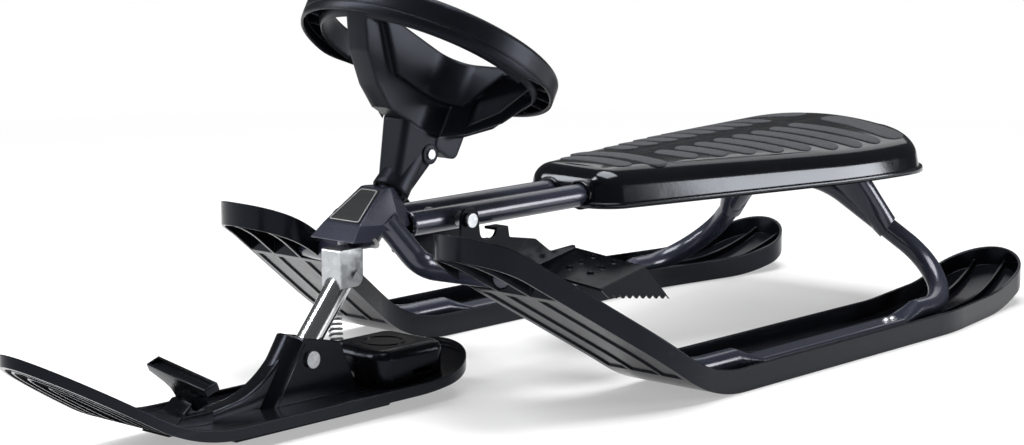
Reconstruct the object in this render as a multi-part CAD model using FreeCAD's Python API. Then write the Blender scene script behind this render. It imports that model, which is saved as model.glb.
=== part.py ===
"""Steering sled on three skis, with a padded-top seat, two foot brakes and a tow line winder.

Millimetres. +X is the rider's left, the front points to -Y, +Z is up.
Lengths along the sled are drawn from a point near its middle, and every piece is then moved
so that the origin lies on the ground under the middle of the whole length.
"""
import FreeCAD, Part
import math
import os

V = FreeCAD.Vector
UP = V(0, 0, 1)

# Clearances and overruns
overrun = 60.0
push_fit = 0.05
run_fit = 0.06
part_gap = 0.4
step_gap = 1.0

# Steering axis, from the ski pivot pin up to the wheel
pin_y = -279.5
pin_z = 52.0
axis_tilt = 40.5

# Runner skis
runner_x = 185.0
runner_width = 98.0
runner_wall = 3.0
runner_plate = 4.0
runner_rim = 22.0
runner_tip_y = -231.0
runner_heel_y = 616.0
runner_heel_run = 118.0
runner_heel_r = 250.0
runner_flat_front = 50.0
runner_bend_r = 147.0
runner_slope_run = 185.0
runner_tip_r = 178.0
runner_slope = 33.0
runner_tip_slope = 12.0
runner_toe_in = 50.0
runner_heel_in = 28.0
runner_heel_kink_y = 400.0
runner_kink_y = -35.0
runner_kink_r = 200.0
runner_rib_x = 16.0
runner_rib_w = 3.0
runner_rib_h = 7.0
tip_pocket_depth = 1.8
tip_pocket_edge = 7.0
tip_pocket_end_y = -30.0
tip_hollow_end_y = -158.0
tip_hollow_depth = 13.0
tip_floor = 16.0

# Frame tubes
tube_r = 11.0
tube_wall = 1.5
tube_bend_r = 45.0
tube_lift = 0.3
tube_head_x = 25.5
tube_head_y = -199.0
tube_head_z = 164.0
tube_elbow = (44.0, -172.0, 122.0)
tube_elbow_r = 24.0
tube_tip_y = -150.0
flat_half_w = 13.0
flat_half_h = 4.5
flat_start_y = 130.0
flat_end_y = 372.0
flat_blend = 34.0
leg_foot_y = 520.0
leg_top_x = 45.0
leg_top_y = 447.0
leg_bend_r = 62.0
cross_join_gap = 2.0
runner_screw_r = 2.5
runner_screw_head_r = 5.5
runner_screw_head_h = 3.0
runner_screw_inset = 7.0
runner_screw_step = 11.0

# Seat rails
rail_x = 20.0
rail_z = 156.0
rail_r = 11.0
rail_front_y = -168.0
rail_rear_y = 462.0

# Head bracket
head_sheet = 2.5
head_base_z = 162.0
head_top_z = 190.0
head_skirt_z = 149.0
head_skirt = ((27.0, -239.0), (41.0, -196.0), (24.0, -159.0))
head_base = ((22.0, -227.0), (39.0, -194.0), (22.0, -161.0))
head_top = ((14.0, -189.0), (16.0, -182.0), (12.0, -174.0))
head_side_cut = ((-224.0, 149.0), (-208.0, 157.0))
head_tube_r = 13.5
head_tube_start = 124.0
head_tube_end = 152.0
bush_wall = 1.2
bush_flange_r = 15.0
bush_flange_h = 1.5
bush_length = 12.0
plate_thick = 0.8
plate_inset = 2.5
plate_corner_r = 2.5

# Steering column, clevis, leg and stem, by distance along the axis from the pin
column_r = 11.0
column_wall = 2.0
column_end = 236.0
clevis_sheet = 2.5
clevis_half_w = 12.0
clevis_front_y = -240.0
clevis_rear_y = -213.0
clevis_shelf_y = -196.0
clevis_low_z = 107.0
clevis_top_z = 141.0
clevis_bolt_y = -221.0
clevis_bolt_z = 116.0
clevis_fold_r = 2.0
clevis_corner_r = 9.0
clevis_bolt_r = 3.2
clevis_head_r = 5.5
clevis_head_h = 2.5
clevis_tail = 13.0
leg_r = 11.0
leg_wall = 2.2
leg_start = -11.0
leg_end = 98.0
pin_r = 5.0
pin_head_r = 7.5
pin_head_h = 3.0

# Ski spring, a close coil hung straight down from the clevis bolt
spring_wire_r = 1.0
spring_coil_r = 5.5
spring_pitch = 4.2
spring_turns = 12
spring_eye_drop = 6.0
spring_hook_drop = 8.0

# Steering wheel, by height above the lowest point of its dish
wheel_at = 72.0
wheel_y = -113.0
wheel_z = 306.0
wheel_tilt = 30.0
wheel_r = 119.0
rim_width = 20.0
rim_height = 20.0
rim_wall = 3.0
rim_rib = 2.0
rim_rib_count = 24
rim_round = 5.0
dish_skin = 3.5
dish_drop = 4.0
dish_rim_r = 104.0
dish_rim_drop = 9.0
dish_mid_r = 83.0
dish_mid_drop = 40.0
dish_low_r = 57.0
dish_low_drop = 61.0
dish_hub_r = 34.0
dish_hub_drop = 72.0
dish_rib = 3.0
dish_rib_step = 22.5
dish_rib_count = 7
pocket_r = 99.0
pocket_spoke_x = 19.0
pocket_back_y = 16.0
pocket_corner_r = 26.0
pocket_recess = 7.0
wall_edge_r = 80.0
wall_edge_drop = 11.0
wall_low_r = 47.0
wall_low_drop = 44.0
stem_top_at = 256.0
stem_bottom_at = 174.0
stem_collar_r = 13.3
stem_collar_at = 184.0
stem_rear = 20.0
stem_front = 54.0
stem_top_half_x = 18.0
stem_corner_r = 6.0
cross_bolt_at = 220.0
cross_bolt_y = 6.3
cross_bolt_r = 3.0
cross_lug_r = 9.0
cross_lug_half = 17.0
cross_head_r = 4.5
cross_head_h = 1.6
dish_boss_half_x = 17.0
dish_boss_y = (30.0, 61.0)
dish_boss_z = (-9.0, 24.0)
dish_boss_r = 8.0

# Front ski
front_tip_y = -586.0
front_heel_y = -95.0
front_half_w = 58.0
front_plate = 6.0
front_base_z = 11.0
front_lip = 4.0
front_lip_w = 4.0
front_flat_front = -395.0
front_flat_rear = -190.0
front_tip_rise_r = 180.0
front_tip_slope = 30.0
front_rib_half = ((44.0, 9.0), (30.0, 22.0), (14.0, 40.0))
front_rib_w = 2.2
front_rib_depth = 3.0
front_rib_edge = 4.5
front_heel_r = 250.0
front_tip_corner_r = 122.0
keel_x = 26.0
keel_w = 8.0
keel_front_y = -380.0
keel_rear_y = -200.0
keel_ramp = 14.0
socket_half_w = 15.5
socket_inner = 12.0
socket_front_base_y = -326.0
socket_front_top = (-288.0, 72.0)
socket_rear_top = (-246.0, 63.0)
socket_rear_base_y = -223.0
socket_front_wall = 5.0
gusset_half_w = 6.0
gusset_front_y = -400.0
gusset_front_h = 6.0
gusset_arc_depth = 17.0
hook_x = -6.0
hook_y = -229.0
hook_post_r = 4.0

# Tow line winder
winder_half_x = 38.0
winder_front_y = -217.0
winder_rear_y = -133.0
winder_top_z = 50.0
winder_wall = 2.5
winder_round = 9.0
winder_corner_r = 14.0
winder_centre_y = -177.0
lid_r = 29.0
lid_thick = 2.5
lid_ring_r = 20.0
lid_ring_w = 2.0
lid_ring_h = 0.8
axle_r = 4.0
reel_r = 26.0
reel_core_r = 15.0
reel_flange = 2.0
reel_height = 18.0
reel_lift = 4.5
winder_slot_h = 4.0
winder_slot_len = 26.0
outlet_r = 4.0
outlet_bore_r = 1.8

# Tow handle
handle_y = -409.0
handle_z = 52.0
handle_tilt = 37.0
handle_twist = 14.0
handle_length = 92.0
handle_depth = 20.0
handle_thick = 13.0
handle_wall = 2.2
handle_end_r = 6.0
stalk_w = 22.0
stalk_d = 9.0
stalk_length = 26.0
dock_half_w = 17.0
dock_front_y = -441.0
dock_rear_y = -393.0
dock_height = 14.0

# Foot brakes, as distances behind and above the bolt
brake_y = -110.0
brake_sheet = 2.5
brake_ear_gap = 10.0
brake_reach = 76.0
brake_bolt_r = 4.0
brake_bolt_head_r = 6.5
brake_bolt_head_h = 4.0
brake_ear = ((-12.0, -38.0, 4.0), (-10.0, 11.0, 9.0), (11.0, 11.0, 9.0), (15.0, -20.0, 8.0))
brake_prong = ((34.0, -20.0, 7.0), (37.0, -11.4, 1.0), (52.0, -11.4, 1.0), (54.0, -22.0, 2.0))
brake_arm = ((90.0, -28.0, 8.0), (112.0, -43.0, 14.0), (147.0, -41.0, 2.0), (147.0, -46.0, 2.0),
             (82.0, -58.0, 6.0))
brake_tab_len = 13.0
brake_plate_rear = (147.0, -43.5)
brake_plate_front = (82.0, -55.5)
brake_plate_fall = (14.0, -11.5)
brake_claw_rear = (198.0, -91.0)
brake_claw_front = (110.0, -78.0)
brake_tooth = 4.0
brake_tooth_count = 9
brake_stud_r = 3.6
brake_stud_h = 2.2
brake_stud_rows = (0.35, 0.64)
brake_stud_shares = (0.36, 0.62, 0.88)

# Seat
seat_base_z = 145.0
seat_skin = 3.5
seat_lip = 4.0
seat_lip_h = 5.0
seat_edge_r = 13.0
seat_front_y = 78.0
seat_rear_y = 532.0
seat_corners = ((44.0, 78.0, 24.0), (134.0, 402.0, 170.0), (134.0, 532.0, 58.0))
seat_crown_front_z = 182.0
seat_crown_rear_z = 195.0
seat_crown_r = 650.0
seat_channel_r = 9.0
seat_channel_depth = 1.6
seat_channel_front_y = 165.0
sleeve_r = 14.0
sleeve_front_y = 74.0
sleeve_rear_y = 130.0
pad_sink = 1.0
pad_stand = 0.9
pad_width = 21.0
pad_pitch = 33.5
pad_count = 8
pad_first_y = 200.0
pad_inner_x = 15.0
pad_margin = 24.0
pad_slant = 16.0
rear_pad_y = 486.0
rear_pad_width = 32.0
front_pad_y = (118.0, 152.0)
front_pad_half_x = (26.0, 40.0)
seat_screw_r = 3.0
seat_screw_head_r = 6.0
seat_screw_head_h = 2.5
seat_boss_r = 8.0
seat_boss_y = (220.0, 350.0)

# Seat brackets on the rear legs
bracket_sheet = 1.5
bracket_half = (30.0, 13.0)
bracket_low_share = 0.42
bracket_top_z = 149.0
bracket_x = 58.0


def polygon(points):
    """Flat face inside a closed row of points."""
    return Part.Face(Part.makePolygon(list(points) + [points[0]]))


def rounded_edges(points, radii):
    """Straight runs joined by an arc at every inner corner, all of one radius or each of its own."""
    corners = points[1:-1]
    if not isinstance(radii, (list, tuple)):
        radii = [radii] * len(corners)
    edges = []
    start = points[0]
    for before, corner, after, radius in zip(points, corners, points[2:], radii):
        back = (before - corner).normalize()
        on = (after - corner).normalize()
        half = back.getAngle(on) / 2
        reach = radius / math.tan(half)
        first = corner + back * reach
        last = corner + on * reach
        middle = corner + (back + on).normalize() * (radius / math.sin(half) - radius)
        edges.append(Part.makeLine(start, first))
        edges.append(Part.Arc(first, middle, last).toShape())
        start = last
    edges.append(Part.makeLine(start, points[-1]))
    return edges


def rounded_face(points, radii):
    """Flat face inside a closed row of points with rounded corners."""
    start = (points[-1] + points[0]) * 0.5
    edges = rounded_edges([start] + list(points) + [start], radii)
    return Part.Face(Part.Wire(edges))


def sweep(path, radius):
    """Round bar along a path."""
    first = path.OrderedEdges[0]
    begin = path.OrderedVertexes[0].Point
    tangent = first.tangentAt(first.FirstParameter)
    ring = Part.Wire(Part.makeCircle(radius, begin, tangent))
    return path.makePipeShell([ring], True, False)


def bar(start, end, radius):
    """Round bar between two points."""
    return Part.makeCylinder(radius, (end - start).Length, start, end - start)


def block(low, high):
    """Box between two corners."""
    size = high - low
    return Part.makeBox(size.x, size.y, size.z, low)


def fuse(shapes):
    """One solid from touching shapes."""
    joined = shapes[0].multiFuse(shapes[1:])
    return joined.removeSplitter()


def largest(shape):
    """The main solid of a cut shape, without its thin offcuts."""
    return max(shape.Solids, key=lambda solid: solid.Volume)


def mirrored(shape):
    """The same piece for the other side of the sled."""
    return shape.mirror(V(0, 0, 0), V(1, 0, 0))


def to_axis(shape):
    """Put a piece drawn around the pin, with its Z along the steering axis, in its place."""
    placed = shape.copy()
    turn = FreeCAD.Rotation(V(1, 0, 0), -axis_tilt)
    placed.Placement = FreeCAD.Placement(V(0, pin_y, pin_z), turn).multiply(placed.Placement)
    return placed


def to_wheel(shape):
    """Put a piece drawn with the rim's middle at its own height in the place of the steering wheel."""
    placed = shape.copy()
    place = FreeCAD.Placement(V(0, wheel_y, wheel_z), FreeCAD.Rotation(V(1, 0, 0), -wheel_tilt))
    drop = FreeCAD.Placement(UP * -wheel_at, FreeCAD.Rotation())
    placed.Placement = place.multiply(drop).multiply(placed.Placement)
    return placed


def save(name, shape):
    """Write one piece, moved so that the origin lies under the middle of the whole length."""
    placed = shape.copy()
    placed.translate(V(0, -(front_tip_y + runner_heel_y) / 2, 0))
    placed.exportStep("parts/" + name + ".step")


# Runner skis
def runner_line(extra):
    """Plan centre line of the left runner from tip to heel, drawn in at both ends, lengthened."""
    half = runner_width / 2
    front = V(runner_x, runner_kink_y, 0)
    rear = V(runner_x, runner_heel_kink_y, 0)
    tip = V(runner_x - runner_toe_in, runner_tip_y + half, 0)
    heel = V(runner_x - runner_heel_in, runner_heel_y - half, 0)
    tip = tip + (tip - front).normalize() * extra
    heel = heel + (heel - rear).normalize() * extra
    return Part.Wire(rounded_edges([tip, front, rear, heel], runner_kink_r))


def runner_plan(inset, extra=0):
    """Plan outline of the left runner, drawn in by an inset, as a tall prism."""
    outline = runner_line(extra).makeOffset2D(runner_width / 2 - inset)
    face = Part.Face(outline)
    face.translate(V(0, 0, -overrun))
    return face.extrude(UP * (runner_rim + runner_bend_r + runner_slope_run))


def runner_curve(lift):
    """Side view of the runner's sole from beyond the heel to beyond the tip, lifted straight up."""
    slope = math.radians(runner_slope)
    end_slope = math.radians(runner_tip_slope)

    def low_arc(angle):
        return V(0, runner_flat_front - runner_bend_r * math.sin(angle),
                 runner_bend_r * (1 - math.cos(angle)))

    rise = V(0, -runner_slope_run * math.cos(slope), runner_slope_run * math.sin(slope))
    top = low_arc(slope) + rise

    def tip_arc(angle):
        return V(0, top.y - runner_tip_r * (math.sin(slope) - math.sin(angle)),
                 top.z + runner_tip_r * (math.cos(angle) - math.cos(slope)))

    def heel_arc(angle):
        return V(0, runner_heel_y - runner_heel_run + runner_heel_r * math.sin(angle),
                 runner_heel_r * (1 - math.cos(angle)))

    heel_angle = math.asin((runner_heel_run + tube_r) / runner_heel_r)
    tip = tip_arc(end_slope)
    beyond = tip + V(0, -math.cos(end_slope), math.sin(end_slope)) * tube_r * 3
    edges = [Part.Arc(heel_arc(heel_angle), heel_arc(heel_angle / 2), heel_arc(0)).toShape(),
             Part.makeLine(heel_arc(0), low_arc(0)),
             Part.Arc(low_arc(0), low_arc(slope / 2), low_arc(slope)).toShape(),
             Part.makeLine(low_arc(slope), top),
             Part.Arc(top, tip_arc((slope + end_slope) / 2), tip).toShape(),
             Part.makeLine(tip, beyond)]
    wire = Part.Wire(edges)
    wire.translate(UP * lift)
    return wire


def runner_layer(low, high):
    """Layer between two heights above the sole, right across one runner."""
    under = runner_curve(low)
    over = runner_curve(high)
    ends = [(under.OrderedVertexes[k].Point, over.OrderedVertexes[k].Point) for k in (0, -1)]
    sides = [Part.makeLine(a, b) for a, b in ends]
    outline = Part.Wire(Part.__sortEdges__(under.Edges + over.Edges + sides))
    return Part.Face(outline).extrude(V(runner_x + runner_width, 0, 0))


def runner_rails(width):
    """Two upright strips along the whole runner, either side of its centre line."""
    half = runner_width / 2
    return runner_plan(half - runner_rib_x - width, half).cut(runner_plan(half - runner_rib_x, half))


def runner_span(front, rear):
    """Everything on the left side between two places along the sled."""
    return block(V(0, front, -overrun), V(runner_x * 2, rear, runner_x * 2))


def runner_ski():
    """Tray with a rim all round, two raised ribs inside, and a tip that is hollow and ribbed below."""
    tray = runner_layer(0, runner_rim).common(runner_plan(0))
    inside = runner_plan(runner_wall)
    high = runner_rim + overrun
    body = runner_span(tip_hollow_end_y, runner_heel_y)
    tip = runner_span(runner_tip_y - overrun, tip_hollow_end_y)
    tray = tray.cut(runner_layer(runner_plate, high).common(inside).common(body))
    tray = tray.cut(runner_layer(tip_floor, high).common(inside).common(tip))
    ribs = runner_layer(runner_plate / 2, runner_plate + runner_rib_h).common(runner_rails(runner_rib_w))
    tray = fuse([tray, ribs.common(runner_plan(runner_wall / 2)).common(body)])
    below = runner_plan(runner_wall).cut(runner_rails(runner_rib_w))
    hollow = below.common(runner_layer(-overrun, tip_hollow_depth))
    tray = tray.cut(hollow.common(runner_span(runner_tip_y - overrun, tip_hollow_end_y - runner_wall)))
    shallow = runner_plan(tip_pocket_edge).cut(runner_rails(runner_rib_w))
    shallow = shallow.common(runner_layer(-overrun, tip_pocket_depth))
    tray = tray.cut(shallow.common(runner_span(tip_hollow_end_y + runner_wall, tip_pocket_end_y)))
    for y in screw_places():
        tray = tray.cut(bar(V(runner_x, y, -overrun), V(runner_x, y, overrun), runner_screw_r + push_fit))
    return tray.cut(frame_tube_bar(tube_r + part_gap))


# Frame tubes
def slope_point(y):
    """Point of the tube's middle line above the runner's rising front."""
    slope = math.radians(runner_slope)
    above = runner_plate + tube_r + tube_lift
    corner_y = runner_flat_front - runner_bend_r * math.tan(slope / 2) + above * math.tan(slope / 2)
    if y >= corner_y:
        return V(runner_x, corner_y, above)
    toe = runner_toe_in / (runner_kink_y - runner_tip_y - runner_width / 2)
    return V(runner_x - toe * (runner_kink_y - y), y, above + (corner_y - y) * math.tan(slope))


def flat_ring(middle, half_w, half_h):
    """Upright tube section of four edges: a round where both halves are alike, else a flattened round."""
    if half_w == half_h:
        corners = [V(half_w * math.cos(a), 0, half_w * math.sin(a))
                   for a in (math.pi / 4, math.pi * 3 / 4, math.pi * 5 / 4, math.pi * 7 / 4)]
        tips = [V(0, 0, half_w), V(-half_w, 0, 0), V(0, 0, -half_w), V(half_w, 0, 0)]
    else:
        flat = half_w - half_h
        corners = [V(flat, 0, half_h), V(-flat, 0, half_h), V(-flat, 0, -half_h), V(flat, 0, -half_h)]
        tips = [None, V(-half_w, 0, 0), None, V(half_w, 0, 0)]
    edges = []
    for k, tip in enumerate(tips):
        a = middle + corners[k]
        b = middle + corners[(k + 1) % len(corners)]
        edges.append(Part.Arc(a, middle + tip, b).toShape() if tip else Part.makeLine(a, b))
    return Part.Wire(edges)


def frame_tube_bar(radius):
    """Left frame tube as a full bar: head, down the runner, pressed flat, and up under the seat."""
    thin = tube_r - radius
    low = runner_plate + tube_lift + thin
    blend_front = flat_start_y - flat_blend
    blend_rear = flat_end_y + flat_blend
    corner = slope_point(runner_flat_front)
    level = corner.z
    front = [V(tube_head_x, tube_head_y, tube_head_z), V(*tube_elbow), slope_point(tube_tip_y), corner,
             V(runner_x, blend_front, level)]
    front_radii = [tube_elbow_r, tube_bend_r, runner_bend_r - level]
    cross_z = rail_z - rail_r - tube_r - part_gap
    rear = [V(runner_x, blend_rear, level), V(runner_x, leg_foot_y, level),
            V(leg_top_x, leg_top_y, cross_z), V(cross_join_gap, leg_top_y, cross_z)]
    pieces = [sweep(Part.Wire(rounded_edges(front, front_radii)), radius),
              sweep(Part.Wire(rounded_edges(rear, leg_bend_r)), radius)]
    rounds = [flat_ring(V(runner_x, y, low + radius), radius, radius) for y in (blend_front, blend_rear)]
    half_w = flat_half_w - thin
    half_h = flat_half_h - thin
    flats = [flat_ring(V(runner_x, y, low + half_h), half_w, half_h) for y in (flat_start_y, flat_end_y)]
    pieces.append(Part.makeLoft([rounds[0], flats[0]], True, True))
    pieces.append(Part.makeLoft([flats[0], flats[1]], True, True))
    pieces.append(Part.makeLoft([flats[1], rounds[1]], True, True))
    return fuse(pieces)


def screw_places():
    """Middle points of the two screws that hold one runner, at the rear of the flattened length."""
    last = flat_end_y - runner_screw_inset
    return [last - runner_screw_step, last]


def frame_tube():
    """Left frame tube with its bore and the holes for the runner screws."""
    tube = frame_tube_bar(tube_r).cut(frame_tube_bar(tube_r - tube_wall))
    for y in screw_places():
        tube = tube.cut(bar(V(runner_x, y, -overrun), V(runner_x, y, overrun), runner_screw_r + push_fit))
    return tube


def runner_screw(y):
    """Round-headed screw through the flattened tube into the runner."""
    seat_z = runner_plate + tube_lift + 2 * flat_half_h
    shank = bar(V(runner_x, y, 0), V(runner_x, y, seat_z + runner_screw_head_h / 2), runner_screw_r)
    ball_r = (runner_screw_head_r ** 2 + runner_screw_head_h ** 2) / (2 * runner_screw_head_h)
    dome = Part.makeSphere(ball_r, V(runner_x, y, seat_z + runner_screw_head_h - ball_r))
    above = block(V(0, y - overrun, seat_z), V(runner_x * 2, y + overrun, seat_z + overrun))
    return fuse([shank, dome.common(above)])


# Seat rails
def rail_bar(radius):
    """Left seat rail as a full bar."""
    return bar(V(rail_x, rail_front_y, rail_z), V(rail_x, rail_rear_y, rail_z), radius)


def seat_rail():
    """Left seat rail with its bore and the holes for the brake bolt and the seat screws."""
    rail = rail_bar(rail_r).cut(rail_bar(rail_r - tube_wall))
    for y in seat_boss_y:
        rail = rail.cut(bar(V(rail_x, y, 0), V(rail_x, y, rail_z * 2), seat_screw_r + push_fit))
    return rail.cut(bar(V(0, brake_y, rail_z), V(rail_x * 2, brake_y, rail_z), brake_bolt_r + push_fit))


# Head bracket
def head_level(corners, z, inset):
    """Closed outline of one level of the bracket, drawn in by an inset."""
    front, side, rear = corners
    left = [V(front[0] - inset, front[1] + inset, z), V(side[0] - inset, side[1], z),
            V(rear[0] - inset, rear[1] - inset, z)]
    right = [V(-p.x, p.y, z) for p in reversed(left)]
    return Part.makePolygon(left + right + left[:1])


def head_block(inset):
    """The bracket's outer form, drawn in by an inset on all sides and then run out below."""
    skirt = head_level(head_skirt, head_skirt_z, inset)
    base = head_level(head_base, head_base_z, inset)
    top = head_level(head_top, head_top_z - inset, inset)
    pieces = [Part.makeLoft([base, top], True, True), Part.makeLoft([skirt, base], True, True)]
    if inset:
        pieces.append(Part.Face(skirt).extrude(UP * -overrun))
    return fuse(pieces)


def head_bracket():
    """Folded sheet hood with a flared front skirt, open below, cut for the column, rails and tubes."""
    hood = head_block(0).cut(head_block(head_sheet))
    (low_y, low_z), (high_y, high_z) = head_side_cut
    outline = [(low_y, low_z), (high_y, high_z), (0, high_z), (0, 0), (low_y, 0)]
    side = [V(-overrun, y, z) for y, z in outline]
    hood = hood.cut(polygon(side).extrude(V(overrun * 2, 0, 0)))
    clear = to_axis(bar(V(0, 0, 0), UP * column_end, head_tube_r + push_fit))
    hood = hood.cut(clear)
    for side in (rail_bar(rail_r + push_fit), frame_tube_bar(tube_r + push_fit)):
        hood = hood.cut(side).cut(mirrored(side))
    return hood


def head_tube():
    """Steel tube in the bracket that carries the column's bushes."""
    tube = bar(UP * head_tube_start, UP * head_tube_end, head_tube_r)
    return to_axis(tube.cut(bar(V(0, 0, 0), UP * column_end, column_r + bush_wall + push_fit)))


def head_bush(face, direction):
    """Flanged plastic bush pushed into one end of the head tube."""
    body = bar(UP * face, UP * (face + direction * bush_length), column_r + bush_wall)
    flange = bar(UP * face, UP * (face - direction * bush_flange_h), bush_flange_r)
    bush = fuse([body, flange])
    return to_axis(bush.cut(bar(V(0, 0, 0), UP * column_end, column_r + run_fit)))


def head_plate():
    """Plain plate with rounded corners on the bracket's sloping front panel."""
    low_mid = V(0, head_base[0][1], head_base_z)
    high_mid = V(0, head_top[0][1], head_top_z)
    upward = (high_mid - low_mid).normalize()
    outward = V(1, 0, 0).cross(upward)
    low = low_mid + upward * plate_inset + outward * push_fit
    high = high_mid - upward * plate_inset + outward * push_fit
    low_half = V(head_base[0][0] - plate_inset, 0, 0)
    high_half = V(head_top[0][0] - plate_inset, 0, 0)
    corners = [low + low_half, high + high_half, high - high_half, low - low_half]
    return rounded_face(corners, plate_corner_r).extrude(outward * plate_thick)


# Steering column, clevis and leg
def steering_column():
    """Painted steel tube from the clevis shelf up into the wheel's stem, drilled for the cross bolt."""
    top = UP * column_end
    tube = bar(V(0, 0, 0), top, column_r).cut(bar(V(0, 0, 0), top, column_r - column_wall))
    hole = bar(V(-overrun, cross_bolt_y, cross_bolt_at), V(overrun, cross_bolt_y, cross_bolt_at),
               cross_bolt_r + push_fit)
    below = block(V(-overrun, pin_y - overrun, -overrun), V(overrun, 0, clevis_top_z))
    return to_axis(tube.cut(hole)).cut(below)


def clevis_hole(radius):
    """Straight hole across the fork at its bolt."""
    return bar(V(-overrun, clevis_bolt_y, clevis_bolt_z), V(overrun, clevis_bolt_y, clevis_bolt_z), radius)


def clevis():
    """Folded steel fork: upright front web arched over the leg, two ears and a shelf for the column."""
    x = clevis_half_w
    inner = x - clevis_sheet
    points = [V(-x, clevis_front_y, clevis_top_z), V(-x, clevis_front_y, clevis_low_z),
              V(-x, clevis_rear_y, clevis_low_z), V(-x, clevis_rear_y, clevis_top_z)]
    radii = [clevis_sheet, clevis_fold_r, clevis_corner_r, clevis_fold_r]
    fork = rounded_face(points, radii).extrude(V(x * 2, 0, 0))
    web_rear = clevis_front_y + clevis_sheet
    under_shelf = clevis_top_z - clevis_sheet
    fork = fork.cut(block(V(-inner, web_rear, 0), V(inner, 0, under_shelf)))
    shelf = block(V(-inner, web_rear, under_shelf), V(inner, clevis_shelf_y, clevis_top_z))
    fork = fuse([fork, shelf])
    arch = to_axis(bar(UP * leg_start, UP * (leg_end + overrun), leg_r + part_gap))
    fork = fork.cut(arch.common(block(V(-x, pin_y, 0), V(x, web_rear, under_shelf))))
    return fork.cut(clevis_hole(clevis_bolt_r + push_fit))


def clevis_bolt():
    """Bolt across the fork, with a round head on the left and a long tail on the right for the spring."""
    def length(start, end, radius):
        return bar(V(start, clevis_bolt_y, clevis_bolt_z), V(end, clevis_bolt_y, clevis_bolt_z), radius)

    side = clevis_half_w
    tail = -side - clevis_tail
    return fuse([length(tail, side, clevis_bolt_r), length(side, side + clevis_head_h, clevis_head_r),
                 length(tail, tail + clevis_head_h, clevis_head_r),
                 length(-side - clevis_head_h, -side, clevis_head_r)])


def steering_leg():
    """Bright steel tube from the fork, where it has two flats, down into the ski's socket."""
    tube = bar(UP * leg_start, UP * leg_end, leg_r).cut(bar(UP * leg_start, UP * leg_end, leg_r - leg_wall))
    tube = to_axis(tube.cut(bar(V(-overrun, 0, 0), V(overrun, 0, 0), pin_r + run_fit)))
    flat_x = clevis_half_w - clevis_sheet - part_gap
    for k in (-1, 1):
        flat = block(V(flat_x, clevis_front_y + clevis_sheet - part_gap, clevis_low_z - part_gap),
                     V(overrun, 0, clevis_top_z))
        tube = tube.cut(flat if k > 0 else mirrored(flat))
    return tube.cut(clevis_hole(clevis_bolt_r + push_fit))


def ski_pin():
    """Pivot pin across the socket with a round head at each end."""
    side = socket_half_w
    shank = bar(V(-side, pin_y, pin_z), V(side, pin_y, pin_z), pin_r)
    far = side + pin_head_h
    heads = [bar(V(k * side, pin_y, pin_z), V(k * far, pin_y, pin_z), pin_head_r) for k in (-1, 1)]
    return fuse([shank] + heads)


# Ski spring
def spring_top():
    """Place under the clevis bolt's tail, where the spring hangs."""
    side = clevis_half_w + clevis_tail / 2
    return V(-side, clevis_bolt_y, clevis_bolt_z - clevis_bolt_r - spring_wire_r - push_fit)


def spring_path():
    """Middle line of the spring: straight leg, coil of quarter-turn arcs going down, straight leg."""
    top = spring_top()
    first_z = top.z - spring_eye_drop
    drift = V(hook_x - top.x, hook_y - top.y, 0) / spring_turns
    first = V(top.x, top.y, first_z)

    def coil(turn):
        angle = 2 * math.pi * turn
        ring = V(spring_coil_r * math.cos(angle), spring_coil_r * math.sin(angle), -spring_pitch * turn)
        return first + drift * turn + ring

    edges = []
    step_share = 0.25
    count = int(spring_turns / step_share)
    for k in range(count):
        a, m, b = [coil((k + share) * step_share) for share in (0, 0.5, 1)]
        edges.append(Part.Arc(a, m, b).toShape())
    lead = coil(0) - coil(step_share / count)
    tail = coil(spring_turns) - coil(spring_turns - step_share / count)
    straight = 2 * spring_wire_r
    begin = coil(0) + lead.normalize() * straight
    end = coil(spring_turns) + tail.normalize() * straight
    return Part.Wire([Part.makeLine(begin, coil(0))] + edges + [Part.makeLine(coil(spring_turns), end)])


def ski_spring():
    """Close-coiled pull spring as one unbroken wire."""
    return sweep(spring_path(), spring_wire_r)


def spring_self_gap():
    """Least gap between neighbouring turns, measured on points along the middle line."""
    points = []
    for edge in spring_path().Edges:
        points += edge.discretize(9)[:-1]
    turn = 4 * 8
    least = None
    for k, p in enumerate(points):
        for q in points[k + turn // 2:k + turn * 2]:
            gap = (p - q).Length - 2 * spring_wire_r
            least = gap if least is None else min(least, gap)
    return least


# Steering wheel
def revolved(points):
    """Solid turned around the steering axis from radius and height pairs."""
    face = polygon([V(r, 0, z) for r, z in points])
    return face.revolve(V(0, 0, 0), UP, 360)


def wheel_rim():
    """Rim as a round-shouldered channel open below, with thin ribs across the channel."""
    low = wheel_at - rim_height / 2
    high = wheel_at + rim_height / 2
    inner_r = wheel_r - rim_width
    outer = revolved([(inner_r, low), (wheel_r, low), (wheel_r, high), (inner_r, high)])
    shoulders = [e for e in outer.Edges if abs(e.BoundBox.ZMin - high) < step_gap]
    outer = outer.makeFillet(rim_round, shoulders)
    channel = revolved([(wheel_r - rim_width + rim_wall, low - overrun), (wheel_r - rim_wall, low - overrun),
                        (wheel_r - rim_wall, high - rim_wall * 2), (wheel_r - rim_width + rim_wall,
                                                                    high - rim_wall * 2)])
    rim = outer.cut(channel)
    ribs = []
    for k in range(rim_rib_count):
        rib = block(V(wheel_r - rim_width + rim_wall / 2, -rim_rib / 2, low + rim_wall),
                    V(wheel_r - rim_wall / 2, rim_rib / 2, high - rim_wall))
        rib.rotate(V(0, 0, 0), UP, 360 * k / rim_rib_count)
        ribs.append(rib)
    return fuse([rim] + ribs)


def dish_profile(skin):
    """Radius and height pairs of the dish under the pad, drawn in by a skin."""
    at = wheel_at
    return [(0, at - dish_drop - skin), (dish_rim_r - skin, at - dish_drop - skin),
            (dish_rim_r - skin, at - dish_rim_drop), (dish_mid_r - skin, at - dish_mid_drop),
            (dish_low_r - skin, at - dish_low_drop), (dish_hub_r, at - dish_hub_drop),
            (0, at - dish_hub_drop)]


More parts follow.
